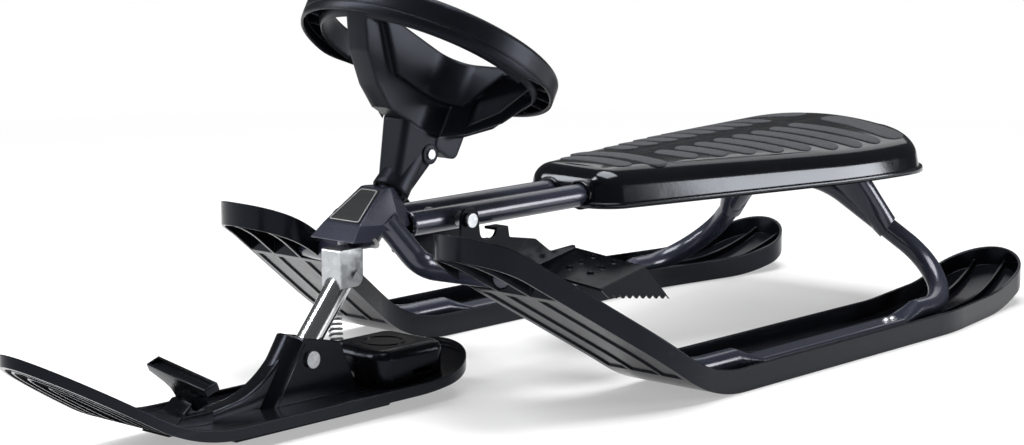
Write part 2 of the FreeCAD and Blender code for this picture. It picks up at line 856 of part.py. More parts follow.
def pocket_prism(side, grow):
    """Finger opening beside the front spoke, on one side, widened towards the pad and spoke."""
    back = pocket_back_y + grow
    spoke = side * (pocket_spoke_x - grow)
    far = side * wheel_r
    points = [V(spoke, -wheel_r, 0), V(far, -wheel_r, 0), V(far, back, 0), V(spoke, back, 0)]
    face = rounded_face(points, pocket_corner_r - grow)
    face.translate(UP * (wheel_at - wheel_r))
    tall = face.extrude(UP * wheel_r * 2)
    disc = bar(UP * (wheel_at - wheel_r), UP * (wheel_at + wheel_r), pocket_r)
    return tall.common(disc)


def wall_underside():
    """Space below the lower edge of the finger opening's wall."""
    at = wheel_at
    return revolved([(0, at - wall_low_drop), (wall_low_r, at - wall_low_drop),
                     (wall_edge_r, at - wall_edge_drop), (wheel_r, at - wall_edge_drop),
                     (wheel_r, at - wheel_r), (0, at - wheel_r)])


def wheel_dish():
    """Padded centre: rear half closed on top, ribbed and open below, with a spoke to the front."""
    body = revolved(dish_profile(0))
    ribs = []
    for k in range(dish_rib_count):
        rib = block(V(0, -dish_rib / 2, wheel_at - wheel_r), V(wheel_r, dish_rib / 2, wheel_at))
        rib.rotate(V(0, 0, 0), UP, 90 + dish_rib_step * (k - (dish_rib_count - 1) / 2))
        ribs.append(rib)
    hollow = revolved([(dish_hub_r, wheel_at - wheel_r)] + [(dish_hub_r, wheel_at - dish_drop - dish_skin)]
                      + [(dish_rim_r - dish_skin, wheel_at - dish_drop - dish_skin)]
                      + [(dish_rim_r - dish_skin, wheel_at - wheel_r)])
    rear = block(V(-wheel_r, pocket_back_y + dish_skin, wheel_at - wheel_r), V(wheel_r, wheel_r, wheel_at))
    hollow = hollow.common(rear).cut(Part.makeCompound(ribs))
    body = body.cut(hollow)
    for side in (-1, 1):
        body = body.cut(pocket_prism(side, 0))
        body = body.cut(pocket_prism(side, pocket_recess).common(wall_underside()))
    return body


def dish_boss():
    """Rounded lump under the pad, behind the stem."""
    x = dish_boss_half_x
    (front, rear), (low, high) = dish_boss_y, dish_boss_z
    points = [V(-x, front, high), V(-x, front, low), V(-x, rear, low), V(-x, rear, high)]
    return rounded_face(points, dish_boss_r).extrude(V(x * 2, 0, 0))


def steering_wheel():
    """Wheel moulding: rim, pad with finger openings, front spoke and hub, bored for the column."""
    wheel = to_wheel(fuse([wheel_rim(), wheel_dish(), dish_boss()]))
    bore = bar(UP * stem_bottom_at, UP * (column_end + part_gap), column_r + part_gap)
    return wheel.cut(to_axis(bore))


def stem_ring(front, rear, half_x, radius, at):
    """Rounded section of the stem between a front and a rear edge."""
    points = [V(half_x, -front, at), V(half_x, rear, at), V(-half_x, rear, at), V(-half_x, -front, at)]
    return rounded_face(points, radius).OuterWire


def wheel_under():
    """Everything that the wheel's dish takes up, lowered by a fit."""
    dish = to_wheel(fuse([revolved(dish_profile(0)), dish_boss()]))
    lean = math.radians(wheel_tilt)
    dish.translate(V(0, math.sin(lean), math.cos(lean)) * -push_fit)
    return dish


def cross_bar(half, radius):
    """Round bar across the stem at its cross bolt."""
    return bar(V(-half, cross_bolt_y, cross_bolt_at), V(half, cross_bolt_y, cross_bolt_at), radius)


def wheel_stem():
    """Plastic stem around the column: a round collar below, flared forward to the dish, with a bolt lug."""
    collar = bar(UP * stem_bottom_at, UP * stem_collar_at, stem_collar_r)
    low = stem_ring(stem_collar_r, stem_collar_r, stem_collar_r, stem_corner_r, stem_collar_at)
    high = stem_ring(stem_front, stem_rear, stem_top_half_x, stem_corner_r, stem_top_at)
    stem = fuse([collar, Part.makeLoft([low, high], True, True), cross_bar(cross_lug_half, cross_lug_r)])
    stem = stem.cut(bar(V(0, 0, 0), UP * (column_end + part_gap), column_r + push_fit))
    return largest(to_axis(stem.cut(cross_bar(overrun, cross_bolt_r + push_fit))).cut(wheel_under()))


def wheel_bolt():
    """Bolt across the stem and the column, headed at both ends."""
    far = cross_lug_half + cross_head_h
    ends = [bar(V(k * cross_lug_half, cross_bolt_y, cross_bolt_at), V(k * far, cross_bolt_y, cross_bolt_at),
                cross_head_r) for k in (-1, 1)]
    return to_axis(fuse([cross_bar(cross_lug_half, cross_bolt_r)] + ends))


# Front ski
def front_plan(inset):
    """Plan outline of the front ski with a broad rounded tip and a round heel, as a tall prism."""
    half = front_half_w - inset
    tip = front_tip_y + inset
    heel = front_heel_y - inset
    corner = front_tip_corner_r - inset
    edges = [Part.makeLine(V(half, heel - half, 0), V(half, tip + corner, 0))]
    right = V(-half, tip + corner, 0)
    nose = Part.Ellipse(V(0, tip, 0), V(half, tip + corner, 0), V(0, tip + corner, 0))
    edges.append(Part.Arc(nose, -math.pi / 2, math.pi / 2).toShape())
    edges.append(Part.makeLine(right, V(-half, heel - half, 0)))
    edges.append(Part.Arc(V(-half, heel - half, 0), V(0, heel, 0), V(half, heel - half, 0)).toShape())
    face = Part.Face(Part.Wire(Part.__sortEdges__(edges)))
    face.translate(V(0, 0, -overrun))
    return face.extrude(UP * (overrun + front_half_w * 4))


def front_curve(lift):
    """Side view of the front ski's plate from beyond the heel to beyond the tip."""
    slope = math.radians(front_tip_slope)

    def tip_arc(angle):
        radius = front_tip_rise_r
        return V(0, front_flat_front - radius * math.sin(angle), radius * (1 - math.cos(angle)))

    run = front_heel_y - front_flat_rear + tube_r
    heel_angle = math.asin(run / front_heel_r)

    def heel_arc(angle):
        return V(0, front_flat_rear + front_heel_r * math.sin(angle), front_heel_r * (1 - math.cos(angle)))

    edges = [Part.Arc(heel_arc(heel_angle), heel_arc(heel_angle / 2), heel_arc(0)).toShape(),
             Part.makeLine(heel_arc(0), tip_arc(0)),
             Part.Arc(tip_arc(0), tip_arc(slope / 2), tip_arc(slope)).toShape()]
    straight = (tip_arc(slope).y - front_tip_y + front_plate) / math.cos(slope)
    tip = tip_arc(slope) + V(0, -math.cos(slope), math.sin(slope)) * straight
    edges.append(Part.makeLine(tip_arc(slope), tip))
    wire = Part.Wire(edges)
    wire.translate(UP * (front_base_z + lift))
    return wire


def front_layer(low, high):
    """Layer between two heights above the front ski's sole."""
    under = front_curve(low)
    over = front_curve(high)
    ends = [(under.OrderedVertexes[k].Point, over.OrderedVertexes[k].Point) for k in (0, -1)]
    closing = [Part.makeLine(a, b) for a, b in ends]
    outline = Part.Wire(Part.__sortEdges__(under.Edges + over.Edges + closing))
    face = Part.Face(outline)
    face.translate(V(-front_half_w * 2, 0, 0))
    return face.extrude(V(front_half_w * 4, 0, 0))


def socket_block(half_w, inset):
    """Side view of the leg socket, extruded across, drawn in by an inset."""
    deck = front_base_z + front_plate / 2
    points = [V(-half_w, socket_front_base_y + inset, deck), V(-half_w, socket_front_top[0] + inset,
                                                              socket_front_top[1]),
              V(-half_w, socket_rear_top[0], socket_rear_top[1]), V(-half_w, socket_rear_base_y, deck)]
    return polygon(points).extrude(V(half_w * 2, 0, 0))


def front_gusset():
    """Thin rib with a hollow back edge, running from the socket forward along the deck."""
    deck = front_base_z + front_plate / 2
    high = V(-gusset_half_w, socket_front_top[0] + part_gap, socket_front_top[1] - front_plate)
    low = V(-gusset_half_w, gusset_front_y, deck + gusset_front_h)
    middle = (high + low) * 0.5 - (V(0, high.z - low.z, low.y - high.y)).normalize() * -gusset_arc_depth
    foot = V(-gusset_half_w, gusset_front_y, deck)
    root = V(-gusset_half_w, socket_front_top[0] + part_gap, deck)
    edges = [Part.Arc(high, middle, low).toShape(), Part.makeLine(low, foot), Part.makeLine(foot, root),
             Part.makeLine(root, high)]
    return Part.Face(Part.Wire(edges)).extrude(V(gusset_half_w * 2, 0, 0))


def tow_dock():
    """Low moulded stand on the deck that the handle's stalk sits on."""
    deck = front_base_z + front_plate / 2
    top_front = dock_front_y + dock_height
    points = [V(-dock_half_w, dock_front_y, deck), V(-dock_half_w, top_front, deck + dock_height),
              V(-dock_half_w, dock_rear_y, deck + dock_height), V(-dock_half_w, dock_rear_y, deck)]
    return polygon(points).extrude(V(dock_half_w * 2, 0, 0))


def front_keel(x):
    """Guide keel under the plate with a ramp at each end."""
    deck = front_base_z + front_plate / 2
    left = x - keel_w / 2
    points = [V(left, keel_front_y - keel_ramp, deck), V(left, keel_front_y, 0), V(left, keel_rear_y, 0),
              V(left, keel_rear_y + keel_ramp, deck)]
    return polygon(points).extrude(V(keel_w, 0, 0))


def front_fan(half, lead):
    """Tall form narrowing to the tip, with a half width behind and a distance from the tip in front."""
    tip = front_tip_y + lead
    wide = front_tip_y + front_tip_corner_r
    nose = Part.Ellipse(V(0, tip, 0), V(half, wide, 0), V(0, wide, 0))
    edges = [Part.Arc(nose, -math.pi / 2, math.pi / 2).toShape(),
             Part.makeLine(V(half, wide, 0), V(-half, wide, 0))]
    face = Part.Face(Part.Wire(Part.__sortEdges__(edges)))
    face.translate(V(0, 0, -overrun))
    return face.extrude(UP * (overrun + front_half_w * 4))


def tip_hollows():
    """Shallow hollows under the tip, parted by ribs that run towards its end."""
    hollow = front_fan(front_half_w - front_rib_edge, front_rib_edge)
    for half, lead in front_rib_half:
        hollow = hollow.cut(front_fan(half, lead).cut(front_fan(half - front_rib_w, lead + front_rib_w)))
    return hollow.common(front_layer(-overrun, front_rib_depth))


def front_ski():
    """Steering ski: lipped plate, twin keels, open-backed leg socket, gusset, dock and spring post."""
    plate = front_layer(0, front_plate + front_lip).common(front_plan(0))
    plate = plate.cut(front_layer(front_plate, overrun * 4).common(front_plan(front_lip_w)))
    plate = plate.cut(tip_hollows())
    deck = front_base_z + front_plate / 2
    keels = [front_keel(k * keel_x) for k in (-1, 1)]
    ski = fuse([plate] + keels + [socket_block(socket_half_w, 0), front_gusset(), tow_dock()])
    room = socket_block(socket_inner, socket_front_wall)
    room.translate(V(0, 0, front_plate))
    open_back = block(V(-socket_inner, pin_y, front_base_z + front_plate),
                      V(socket_inner, winder_front_y, pin_z * 2))
    ski = ski.cut(room).cut(open_back)
    ski = ski.cut(bar(V(-overrun, pin_y, pin_z), V(overrun, pin_y, pin_z), pin_r + push_fit))
    post = bar(V(hook_x, hook_y, deck), V(hook_x, hook_y, spring_hook_z()), hook_post_r)
    return fuse([ski, post]).cut(handle_block(part_gap))


def spring_hook_z():
    """Height of the spring's lower end."""
    return spring_top().z - spring_eye_drop - spring_pitch * spring_turns - spring_hook_drop


# Tow line winder
def winder_form(inset, top):
    """Rounded box of the winder, drawn in by an inset."""
    deck = front_base_z + front_plate + push_fit
    x = winder_half_x - inset
    points = [V(x, winder_front_y + inset, deck), V(x, winder_rear_y - inset, deck),
              V(-x, winder_rear_y - inset, deck), V(-x, winder_front_y + inset, deck)]
    form = rounded_face(points, winder_corner_r - inset).extrude(UP * (top - deck))
    upper = [e for e in form.Edges if e.BoundBox.ZMin > top - step_gap]
    return form.makeFillet(winder_round - inset, upper)


def winder_housing():
    """Moulded cover of the winder with a round lid seat, a drain slot and a centre axle."""
    shell = winder_form(0, winder_top_z).cut(winder_form(winder_wall, winder_top_z - winder_wall))
    centre = V(0, winder_centre_y, 0)
    shell = shell.cut(bar(centre + UP * (winder_top_z - lid_thick), centre + UP * (winder_top_z + overrun),
                          lid_r + part_gap))
    floor_z = winder_top_z - lid_thick
    floor = bar(centre + UP * (floor_z - winder_wall), centre + UP * floor_z, lid_r + winder_wall)
    shell = fuse([shell, floor.cut(bar(centre, centre + UP * winder_top_z, axle_r + push_fit))])
    slot_z = front_base_z + front_plate + winder_slot_h * 2
    slot = block(V(winder_half_x - winder_round, winder_centre_y, slot_z),
                 V(winder_half_x + overrun, winder_centre_y + winder_slot_len, slot_z + winder_slot_h))
    outlet = bar(V(0, winder_front_y - overrun, slot_z), V(0, winder_centre_y, slot_z), outlet_r)
    return largest(shell.cut(slot).cut(outlet).cut(front_layer(0, front_plate + push_fit)))


def winder_lid():
    """Round lid with one raised ring, sunk in the housing's top."""
    centre = V(0, winder_centre_y, 0)
    base = winder_top_z - lid_thick + push_fit
    lid = bar(centre + UP * base, centre + UP * (base + lid_thick), lid_r)
    top = base + lid_thick
    ring = bar(centre + UP * (top - lid_ring_h), centre + UP * (top + lid_ring_h), lid_ring_r)
    return fuse([lid, ring.cut(bar(centre, centre + UP * overrun * 2, lid_ring_r - lid_ring_w))])


def winder_axle():
    """Steel axle standing on the ski's deck, under the lid."""
    deck = front_base_z + front_plate + push_fit
    top = winder_top_z - lid_thick - push_fit
    axle = bar(V(0, winder_centre_y, deck), V(0, winder_centre_y, top), axle_r)
    return axle.cut(front_layer(0, front_plate + push_fit))


def cord_reel():
    """Flanged reel that turns on the axle."""
    deck = front_base_z + front_plate
    base = deck + reel_lift
    points = [(axle_r + run_fit, base), (reel_r, base), (reel_r, base + reel_flange),
              (reel_core_r, base + reel_flange), (reel_core_r, base + reel_height - reel_flange),
              (reel_r, base + reel_height - reel_flange), (reel_r, base + reel_height),
              (axle_r + run_fit, base + reel_height)]
    reel = revolved(points)
    reel.translate(V(0, winder_centre_y, 0))
    return reel


def cord_gland():
    """Smooth plastic eye where the tow line leaves the winder."""
    z = front_base_z + front_plate + winder_slot_h * 2
    tube = bar(V(0, winder_front_y - winder_wall, z), V(0, winder_front_y + winder_wall * 2, z),
               outlet_r - push_fit)
    return tube.cut(bar(V(0, winder_front_y - overrun, z), V(0, winder_centre_y, z), outlet_bore_r))


# Tow handle
def handle_place(shape):
    """Lean the handle forward and turn it a little about its stalk, as it is parked."""
    placed = shape.copy()
    lean = FreeCAD.Rotation(V(1, 0, 0), handle_tilt)
    twist = FreeCAD.Rotation(UP, -handle_twist)
    placed.Placement = FreeCAD.Placement(V(0, handle_y, handle_z), lean.multiply(twist))
    return placed


def handle_block(grow):
    """Outer form of the T handle: a rounded cross bar and a flat stalk."""
    x = handle_length / 2 + grow
    y = handle_depth / 2 + grow
    low = -handle_thick / 2 - grow
    points = [V(x, -y, low), V(x, y, low), V(-x, y, low), V(-x, -y, low)]
    cross = rounded_face(points, handle_end_r).extrude(UP * (handle_thick + grow * 2))
    stalk = block(V(-stalk_w / 2 - grow, -stalk_d / 2 - grow, -stalk_length - grow),
                  V(stalk_w / 2 + grow, stalk_d / 2 + grow, 0))
    return handle_place(fuse([cross, stalk]))


def tow_handle():
    """T handle with a hollow grip bar open on top."""
    x = handle_length / 2 - handle_wall
    y = handle_depth / 2 - handle_wall
    low = handle_wall - handle_thick / 2
    points = [V(x, -y, low), V(x, y, low), V(-x, y, low), V(-x, -y, low)]
    hollow = rounded_face(points, handle_end_r - handle_wall).extrude(UP * handle_thick)
    return handle_block(0).cut(handle_place(hollow))


# Foot brakes
def brake_ear_x():
    """Inner face of the pedal's upright arm."""
    return rail_x + rail_r + brake_ear_gap


def brake_point(x, place):
    """Point of the pedal from its distances behind and above the bolt."""
    return V(x, brake_y + place[0], rail_z + place[1])


def brake_upright():
    """Upright arm of the pedal: bolted ear, round notch, stop prong and a hollowed rear."""
    outline = brake_ear + brake_prong + brake_arm
    points = [brake_point(brake_ear_x(), place) for place in outline]
    return rounded_face(points, [place[2] for place in outline]).extrude(V(brake_sheet, 0, 0))


def brake_plate_corners():
    """Corners of the foot plate: inner rear, outer rear, outer front, inner front."""
    fall = V(brake_reach, brake_plate_fall[0], brake_plate_fall[1])
    rear = brake_point(brake_ear_x(), brake_plate_rear)
    front = brake_point(brake_ear_x(), brake_plate_front)
    return [rear, rear + fall, front + fall, front]


def brake_claw():
    """Outer edge of the pedal bent down, with a row of pointed teeth along its foot."""
    rear, outer_rear, outer_front, front = brake_plate_corners()
    x = outer_rear.x - brake_sheet
    first = brake_point(x, brake_claw_rear)
    last = brake_point(x, brake_claw_front)
    points = [V(x, outer_front.y, outer_front.z), V(x, outer_rear.y, outer_rear.z), first]
    for k in range(brake_tooth_count):
        share = (k + 0.5) / brake_tooth_count
        points.append(first + (last - first) * share + UP * brake_tooth)
        points.append(first + (last - first) * ((k + 1) / brake_tooth_count))
    return polygon(points).extrude(V(brake_sheet, 0, 0))


def brake_pedal():
    """Folded sheet pedal: upright arm, foot plate with studs, stop tab and a toothed claw."""
    corners = brake_plate_corners()
    rear, outer_rear, outer_front, front = corners
    across = outer_rear - rear
    along = rear - front
    normal = across.cross(along).normalize()
    plate = polygon(corners).extrude(normal * -brake_sheet)
    tab_front, tab_rear = brake_prong[1], brake_prong[2]
    tab = block(brake_point(brake_ear_x() - brake_tab_len, tab_front) - UP * brake_sheet,
                brake_point(brake_ear_x() + brake_sheet, tab_rear))
    solids = [brake_upright(), plate, brake_claw(), tab]
    for row_share in brake_stud_rows:
        for share in brake_stud_shares:
            at = front + across * row_share + along * share
            solids.append(Part.makeCone(brake_stud_r, brake_stud_r / 2, brake_stud_h, at, normal))
    pedal = fuse(solids)
    bolt = V(0, brake_y, rail_z)
    return pedal.cut(bar(bolt, bolt + V(brake_ear_x() + overrun, 0, 0), brake_bolt_r + run_fit))


def brake_bolt():
    """Shoulder bolt through the left rail that the pedal turns on, with a spacer beside the rail."""
    start = rail_x - rail_r - brake_bolt_head_h
    end = brake_ear_x() + brake_sheet + part_gap
    axis = V(0, brake_y, rail_z)

    def length(a, b, radius):
        return bar(axis + V(a, 0, 0), axis + V(b, 0, 0), radius)

    nut = length(start, rail_x - rail_r - push_fit, brake_bolt_head_r)
    spacer = length(rail_x + rail_r + push_fit, brake_ear_x() - part_gap, brake_bolt_head_r)
    head = length(end, end + brake_bolt_head_h, brake_bolt_head_r)
    return fuse([length(start, end, brake_bolt_r), nut, spacer, head])


# Seat
def seat_outline():
    """Plan edge of the seat: narrow and rounded in front, wide behind."""
    left = [V(x, y, 0) for x, y, radius in seat_corners]
    right = [V(-p.x, p.y, 0) for p in reversed(left)]
    radii = [radius for x, y, radius in seat_corners]
    return rounded_face(left + right, radii + radii[::-1]).OuterWire


def seat_plan(grow, low, high):
    """Tall form over the seat's plan outline, widened evenly."""
    wire = seat_outline()
    if grow:
        wire = wire.makeOffset2D(grow)
    face = Part.Face(wire)
    face.translate(UP * low)
    return face.extrude(UP * (high - low))


def seat_under_crown(lift):
    """Everything below the seat's top, which is crowned from side to side and rises to the rear."""
    half = runner_x
    rise = (seat_crown_rear_z - seat_crown_front_z) / (seat_rear_y - seat_front_y)
    apex = seat_crown_front_z - rise * overrun + lift
    edge = apex - seat_crown_r + math.sqrt(seat_crown_r ** 2 - half ** 2)
    front = seat_front_y - overrun
    top = Part.Arc(V(-half, front, edge), V(0, front, apex), V(half, front, edge)).toShape()
    sides = [V(half, front, edge), V(half, front, 0), V(-half, front, 0), V(-half, front, edge)]
    walls = [Part.makeLine(a, b) for a, b in zip(sides, sides[1:])]
    length = seat_rear_y - seat_front_y + overrun * 2
    return Part.Face(Part.Wire([top] + walls)).extrude(V(0, length, length * rise))


def seat_form(grow, low, edge_r, lift):
    """Seat block with its crowned top and rounded upper edge."""
    form = seat_plan(grow, low, head_top_z * 2).common(seat_under_crown(lift))
    upper = [e for e in form.Edges if e.BoundBox.ZMin > seat_base_z + seat_lip_h]
    return form.makeFillet(edge_r, upper)


def slot_face(a, b, width):
    """Flat round-ended strip between two points."""
    across = UP.cross(b - a).normalize() * (width / 2)
    along = (b - a).normalize() * (width / 2)
    edges = [Part.makeLine(a + across, b + across), Part.Arc(b + across, b + along, b - across).toShape(),
             Part.makeLine(b - across, a - across), Part.Arc(a - across, a - along, a + across).toShape()]
    return Part.Face(Part.Wire(edges))


def seat_half_width(y):
    """Half width of the seat's plan at one place, before its corners are rounded."""
    front, waist, rear = seat_corners
    share = min(1, (y - front[1]) / (waist[1] - front[1]))
    return front[0] + (waist[0] - front[0]) * share


def pad_strips(grow):
    """Strips of all grip pads in plan: two across the front, slanted rows on each half, two wide ones."""
    strips = []
    for y, half in zip(front_pad_y, front_pad_half_x):
        strips.append(slot_face(V(-half, y, 0), V(half, y, 0), pad_width + grow))
    rows = [(pad_first_y + pad_pitch * k, pad_width, pad_slant) for k in range(pad_count)]
    rows.append((rear_pad_y, rear_pad_width, 0))
    for y, width, slant in rows:
        outer_x = seat_half_width(y) - pad_margin - width / 2
        for side in (-1, 1):
            inner = V(side * (pad_inner_x + width / 2), y - slant / 2, 0)
            outer = V(side * outer_x, y + slant / 2, 0)
            strips.append(slot_face(inner, outer, width + grow))
    return [strip.extrude(UP * head_top_z * 2) for strip in strips]


def seat_grip_pads():
    """Thin anti-slip pads let into the seat's top."""
    layer = seat_under_crown(pad_stand).cut(seat_under_crown(-pad_sink))
    return Part.makeCompound([strip.common(layer) for strip in pad_strips(0)])


def seat_shell():
    """Moulded seat: crowned, round-edged, hollow below, with a bottom lip, rail sleeves and pad seats."""
    outer = seat_form(0, seat_base_z, seat_edge_r, 0)
    inner = seat_form(-seat_skin, seat_base_z - overrun, seat_edge_r - seat_skin, -seat_skin)
    shell = outer.cut(inner)
    lip = seat_plan(seat_lip, seat_base_z, seat_base_z + seat_lip_h)
    lip = lip.cut(seat_plan(-seat_skin, seat_base_z - overrun, seat_base_z + overrun))
    pieces = [shell, lip]
    for side in (-1, 1):
        x = side * rail_x
        sleeve = bar(V(x, sleeve_front_y, rail_z), V(x, sleeve_rear_y, rail_z), sleeve_r)
        pieces.append(sleeve.common(seat_under_crown(0)))
        for y in seat_boss_y:
            boss = bar(V(x, y, rail_z), V(x, y, head_top_z + seat_skin * 2), seat_boss_r)
            pieces.append(boss.common(seat_under_crown(-seat_skin / 2)))
    shell = fuse(pieces)
    for side in (rail_bar(rail_r + push_fit), mirrored(rail_bar(rail_r + push_fit))):
        shell = shell.cut(side)
    groove = slot_face(V(0, seat_channel_front_y, 0), V(0, seat_rear_y - seat_edge_r * 2, 0), seat_channel_r)
    shell = shell.cut(groove.extrude(UP * head_top_z * 2).cut(seat_under_crown(-seat_channel_depth)))
    pockets = [strip.cut(seat_under_crown(-pad_sink)) for strip in pad_strips(part_gap)]
    shell = shell.cut(Part.makeCompound(pockets))
    for side in (-1, 1):
        for y in seat_boss_y:
            top = V(side * rail_x, y, rail_z + rail_r * 2 + part_gap)
            shell = shell.cut(bar(V(side * rail_x, y, rail_z), top, seat_screw_r + push_fit))
    return shell


def seat_screw(side, y):
    """Screw up through a rail into the seat's boss."""
    x = side * rail_x
    low = rail_z - rail_r
    shank = bar(V(x, y, low - push_fit), V(x, y, rail_z + rail_r * 2), seat_screw_r)
    head = bar(V(x, y, low - seat_screw_head_h), V(x, y, low), seat_screw_head_r)
    return fuse([shank, head.cut(rail_cutter(side))])


def rail_cutter(side):
    """Space of one rail with a push fit."""
    return rail_bar(rail_r + push_fit) if side > 0 else mirrored(rail_bar(rail_r + push_fit))


# Seat brackets
def leg_point(share):
    """Point on the left rear leg between its foot and its top."""
    level = runner_plate + tube_r + tube_lift
    foot = V(runner_x, leg_foot_y, level)
    top = V(leg_top_x, leg_top_y, rail_z - rail_r - tube_r - part_gap)
    return top + (foot - top) * share


def bracket_form(grow):
    """Flared form from a close ring on the leg to a wide mouth under the seat."""
    upright = FreeCAD.Rotation(V(1, 0, 0), 90)
    lean = FreeCAD.Rotation(UP, leg_point(0) - leg_point(1))
    foot_r = tube_r + part_gap + grow
    ring = flat_ring(V(0, 0, 0), foot_r, foot_r)
    ring.Placement = FreeCAD.Placement(leg_point(bracket_low_share), lean.multiply(upright))
    mouth = flat_ring(V(0, 0, 0), bracket_half[0] + grow, bracket_half[1] + grow)
    mouth.Placement = FreeCAD.Placement(V(bracket_x, leg_top_y, bracket_top_z), upright)
    return Part.makeLoft([ring, mouth], True, True)


def seat_bracket():
    """Flared sheet sleeve between the left rear leg and the seat."""
    sleeve = bracket_form(bracket_sheet).cut(bracket_form(0))
    return sleeve.cut(frame_tube_bar(tube_r + push_fit)).cut(rail_bar(rail_r + part_gap))


def build():
    """Make and write every piece."""
    os.makedirs("parts", exist_ok=True)
    pairs = (("runner_ski", runner_ski()), ("frame_tube", frame_tube()), ("seat_rail", seat_rail()),
             ("seat_bracket", seat_bracket()), ("brake_pedal", brake_pedal()))
    for name, shape in pairs:
        save("left_" + name, shape)
        save("right_" + name, mirrored(shape))
    screws = [runner_screw(y) for y in screw_places()]
    save("runner_screws", Part.makeCompound(screws + [mirrored(s) for s in screws]))
    save("brake_bolts", Part.makeCompound([brake_bolt(), mirrored(brake_bolt())]))
    save("head_bracket", head_bracket())
    save("head_tube", head_tube())
    save("lower_bush", head_bush(head_tube_start, 1))
    save("upper_bush", head_bush(head_tube_end, -1))
    save("front_plate", head_plate())
    save("steering_column", steering_column())
    save("clevis", clevis())
    save("clevis_bolt", clevis_bolt())
    save("steering_leg", steering_leg())
    save("ski_spring", ski_spring())
    save("steering_wheel", steering_wheel())
    save("wheel_stem", wheel_stem())
    save("wheel_bolt", wheel_bolt())
    save("front_ski", front_ski())
    save("ski_pin", ski_pin())
    save("winder_housing", winder_housing())
    save("winder_lid", winder_lid())
    save("winder_axle", winder_axle())
    save("cord_reel", cord_reel())
    save("cord_gland", cord_gland())
    save("tow_handle", tow_handle())
    save("seat_shell", seat_shell())
    save("seat_grip_pads", seat_grip_pads())
    save("seat_screws", Part.makeCompound([seat_screw(k, y) for k in (-1, 1) for y in seat_boss_y]))
    print("least gap between spring turns, mm:", round(spring_self_gap(), 3))


build()
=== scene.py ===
import bpy
import bmesh
import math
from mathutils import Matrix, Vector


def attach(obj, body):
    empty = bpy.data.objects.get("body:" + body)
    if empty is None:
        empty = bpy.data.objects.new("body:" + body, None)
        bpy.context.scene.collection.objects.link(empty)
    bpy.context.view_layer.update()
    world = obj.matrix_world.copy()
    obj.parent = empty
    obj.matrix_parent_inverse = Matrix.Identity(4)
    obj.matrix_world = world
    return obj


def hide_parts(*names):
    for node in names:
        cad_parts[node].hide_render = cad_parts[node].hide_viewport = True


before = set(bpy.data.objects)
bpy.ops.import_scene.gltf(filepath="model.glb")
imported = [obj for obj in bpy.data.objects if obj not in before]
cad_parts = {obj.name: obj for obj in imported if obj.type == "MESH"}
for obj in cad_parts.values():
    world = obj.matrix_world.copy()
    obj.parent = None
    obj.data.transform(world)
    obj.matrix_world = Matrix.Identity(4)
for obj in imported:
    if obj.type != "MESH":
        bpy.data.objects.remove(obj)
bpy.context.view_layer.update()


# Runner skis, front ski and winder box: black polyethylene mouldings. The pressing leaves
# a satin skin with faint flow clouds, and use leaves fine scuffs that run along the sled.
class Wire:
    """A socket in a finish, so that sums on it can be written as Python."""

    def __init__(self, tree, socket=None):
        self.tree = tree
        self.socket = socket

    def node(self, kind, settings=None, sockets=None, out=0):
        """Add a node, set it up, feed its sockets, and give back one of its outputs."""
        made = self.tree.nodes.new("ShaderNode" + kind)
        for name, value in (settings or {}).items():
            if name == "stops":
                for element, (place, tone) in zip(made.color_ramp.elements, value):
                    element.position = place
                    element.color = (tone, tone, tone, 1)
            else:
                setattr(made, name, value)
        for name, value in (sockets or {}).items():
            if isinstance(value, Wire):
                self.tree.links.new(value.socket, made.inputs[name])
            else:
                made.inputs[name].default_value = value
        return Wire(self.tree, made.outputs[out])

    def maths(self, operation, first, second):
        """One sum of two wires or numbers."""
        return self.node("Math", {"operation": operation}, {0: first, 1: second})

    def __add__(self, other):
        return self.maths("ADD", self, other)

    def __mul__(self, other):
        return self.maths("MULTIPLY", self, other)

    __radd__ = __add__
    __rmul__ = __mul__

    def between(self, low, high):
        """Two colours mixed by this value."""
        return self.node("Mix", {"data_type": "RGBA"}, {0: self, 6: (*low, 1), 7: (*high, 1)}, 2)

    def step(self, low, high):
        """0 below low, 1 above high, smooth between them."""
        return self.node("ValToRGB", {"stops": ((low, 0), (high, 1))}, {0: self})

    def grain(self, scale, stretch=(1, 1, 1), turn=(0, 0, 0), detail=3):
        """Cloudy grain in the part's own metres, scale times a metre, drawn out along an axis."""
        place = self.node("Mapping", {}, {"Vector": self, "Rotation": turn, "Scale": stretch})
        return self.node("TexNoise", {}, {"Vector": place, "Scale": scale, "Detail": detail})


class Finish:
    """A material under way: its surface shader, and the wire of the part's coordinates."""

    def __init__(self, name, metallic=0.0, gloss=0.5, tint=(1, 1, 1)):
        self.material = bpy.data.materials.new(name)
        self.material.use_nodes = True
        self.tree = self.material.node_tree
        self.shader = self.tree.nodes["Principled BSDF"]
        self.shader.inputs["Metallic"].default_value = metallic
        self.shader.inputs["Specular IOR Level"].default_value = gloss
        self.shader.inputs["Specular Tint"].default_value = (*tint, 1)
        self.shader.inputs["Coat Roughness"].default_value = 0.05
        self.place = Wire(self.tree).node("TexCoord", out=3)

    def feed(self, **wires):
        """Feed wires to the shader's sockets, given as words joined by an underscore."""
        for name, wire in wires.items():
            self.tree.links.new(wire.socket, self.shader.inputs[name.replace("_", " ").title()])

    def relief(self, height, depth, edge, strength=0.6):
        """Raise the surface by a wire of heights, to a depth in metres, over edges of a radius."""
        soft = height.node("Bevel", {"samples": 4}, {"Radius": edge})
        sockets = {"Strength": strength, "Distance": depth, "Height": height, "Normal": soft}
        bump = height.node("Bump", {}, sockets)
        self.tree.links.new(bump.socket, self.shader.inputs["Normal"])

    def coat(self, *nodes):
        """Give this finish to pieces of the frame."""
        for node in nodes:
            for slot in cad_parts[node].material_slots:
                slot.material = self.material


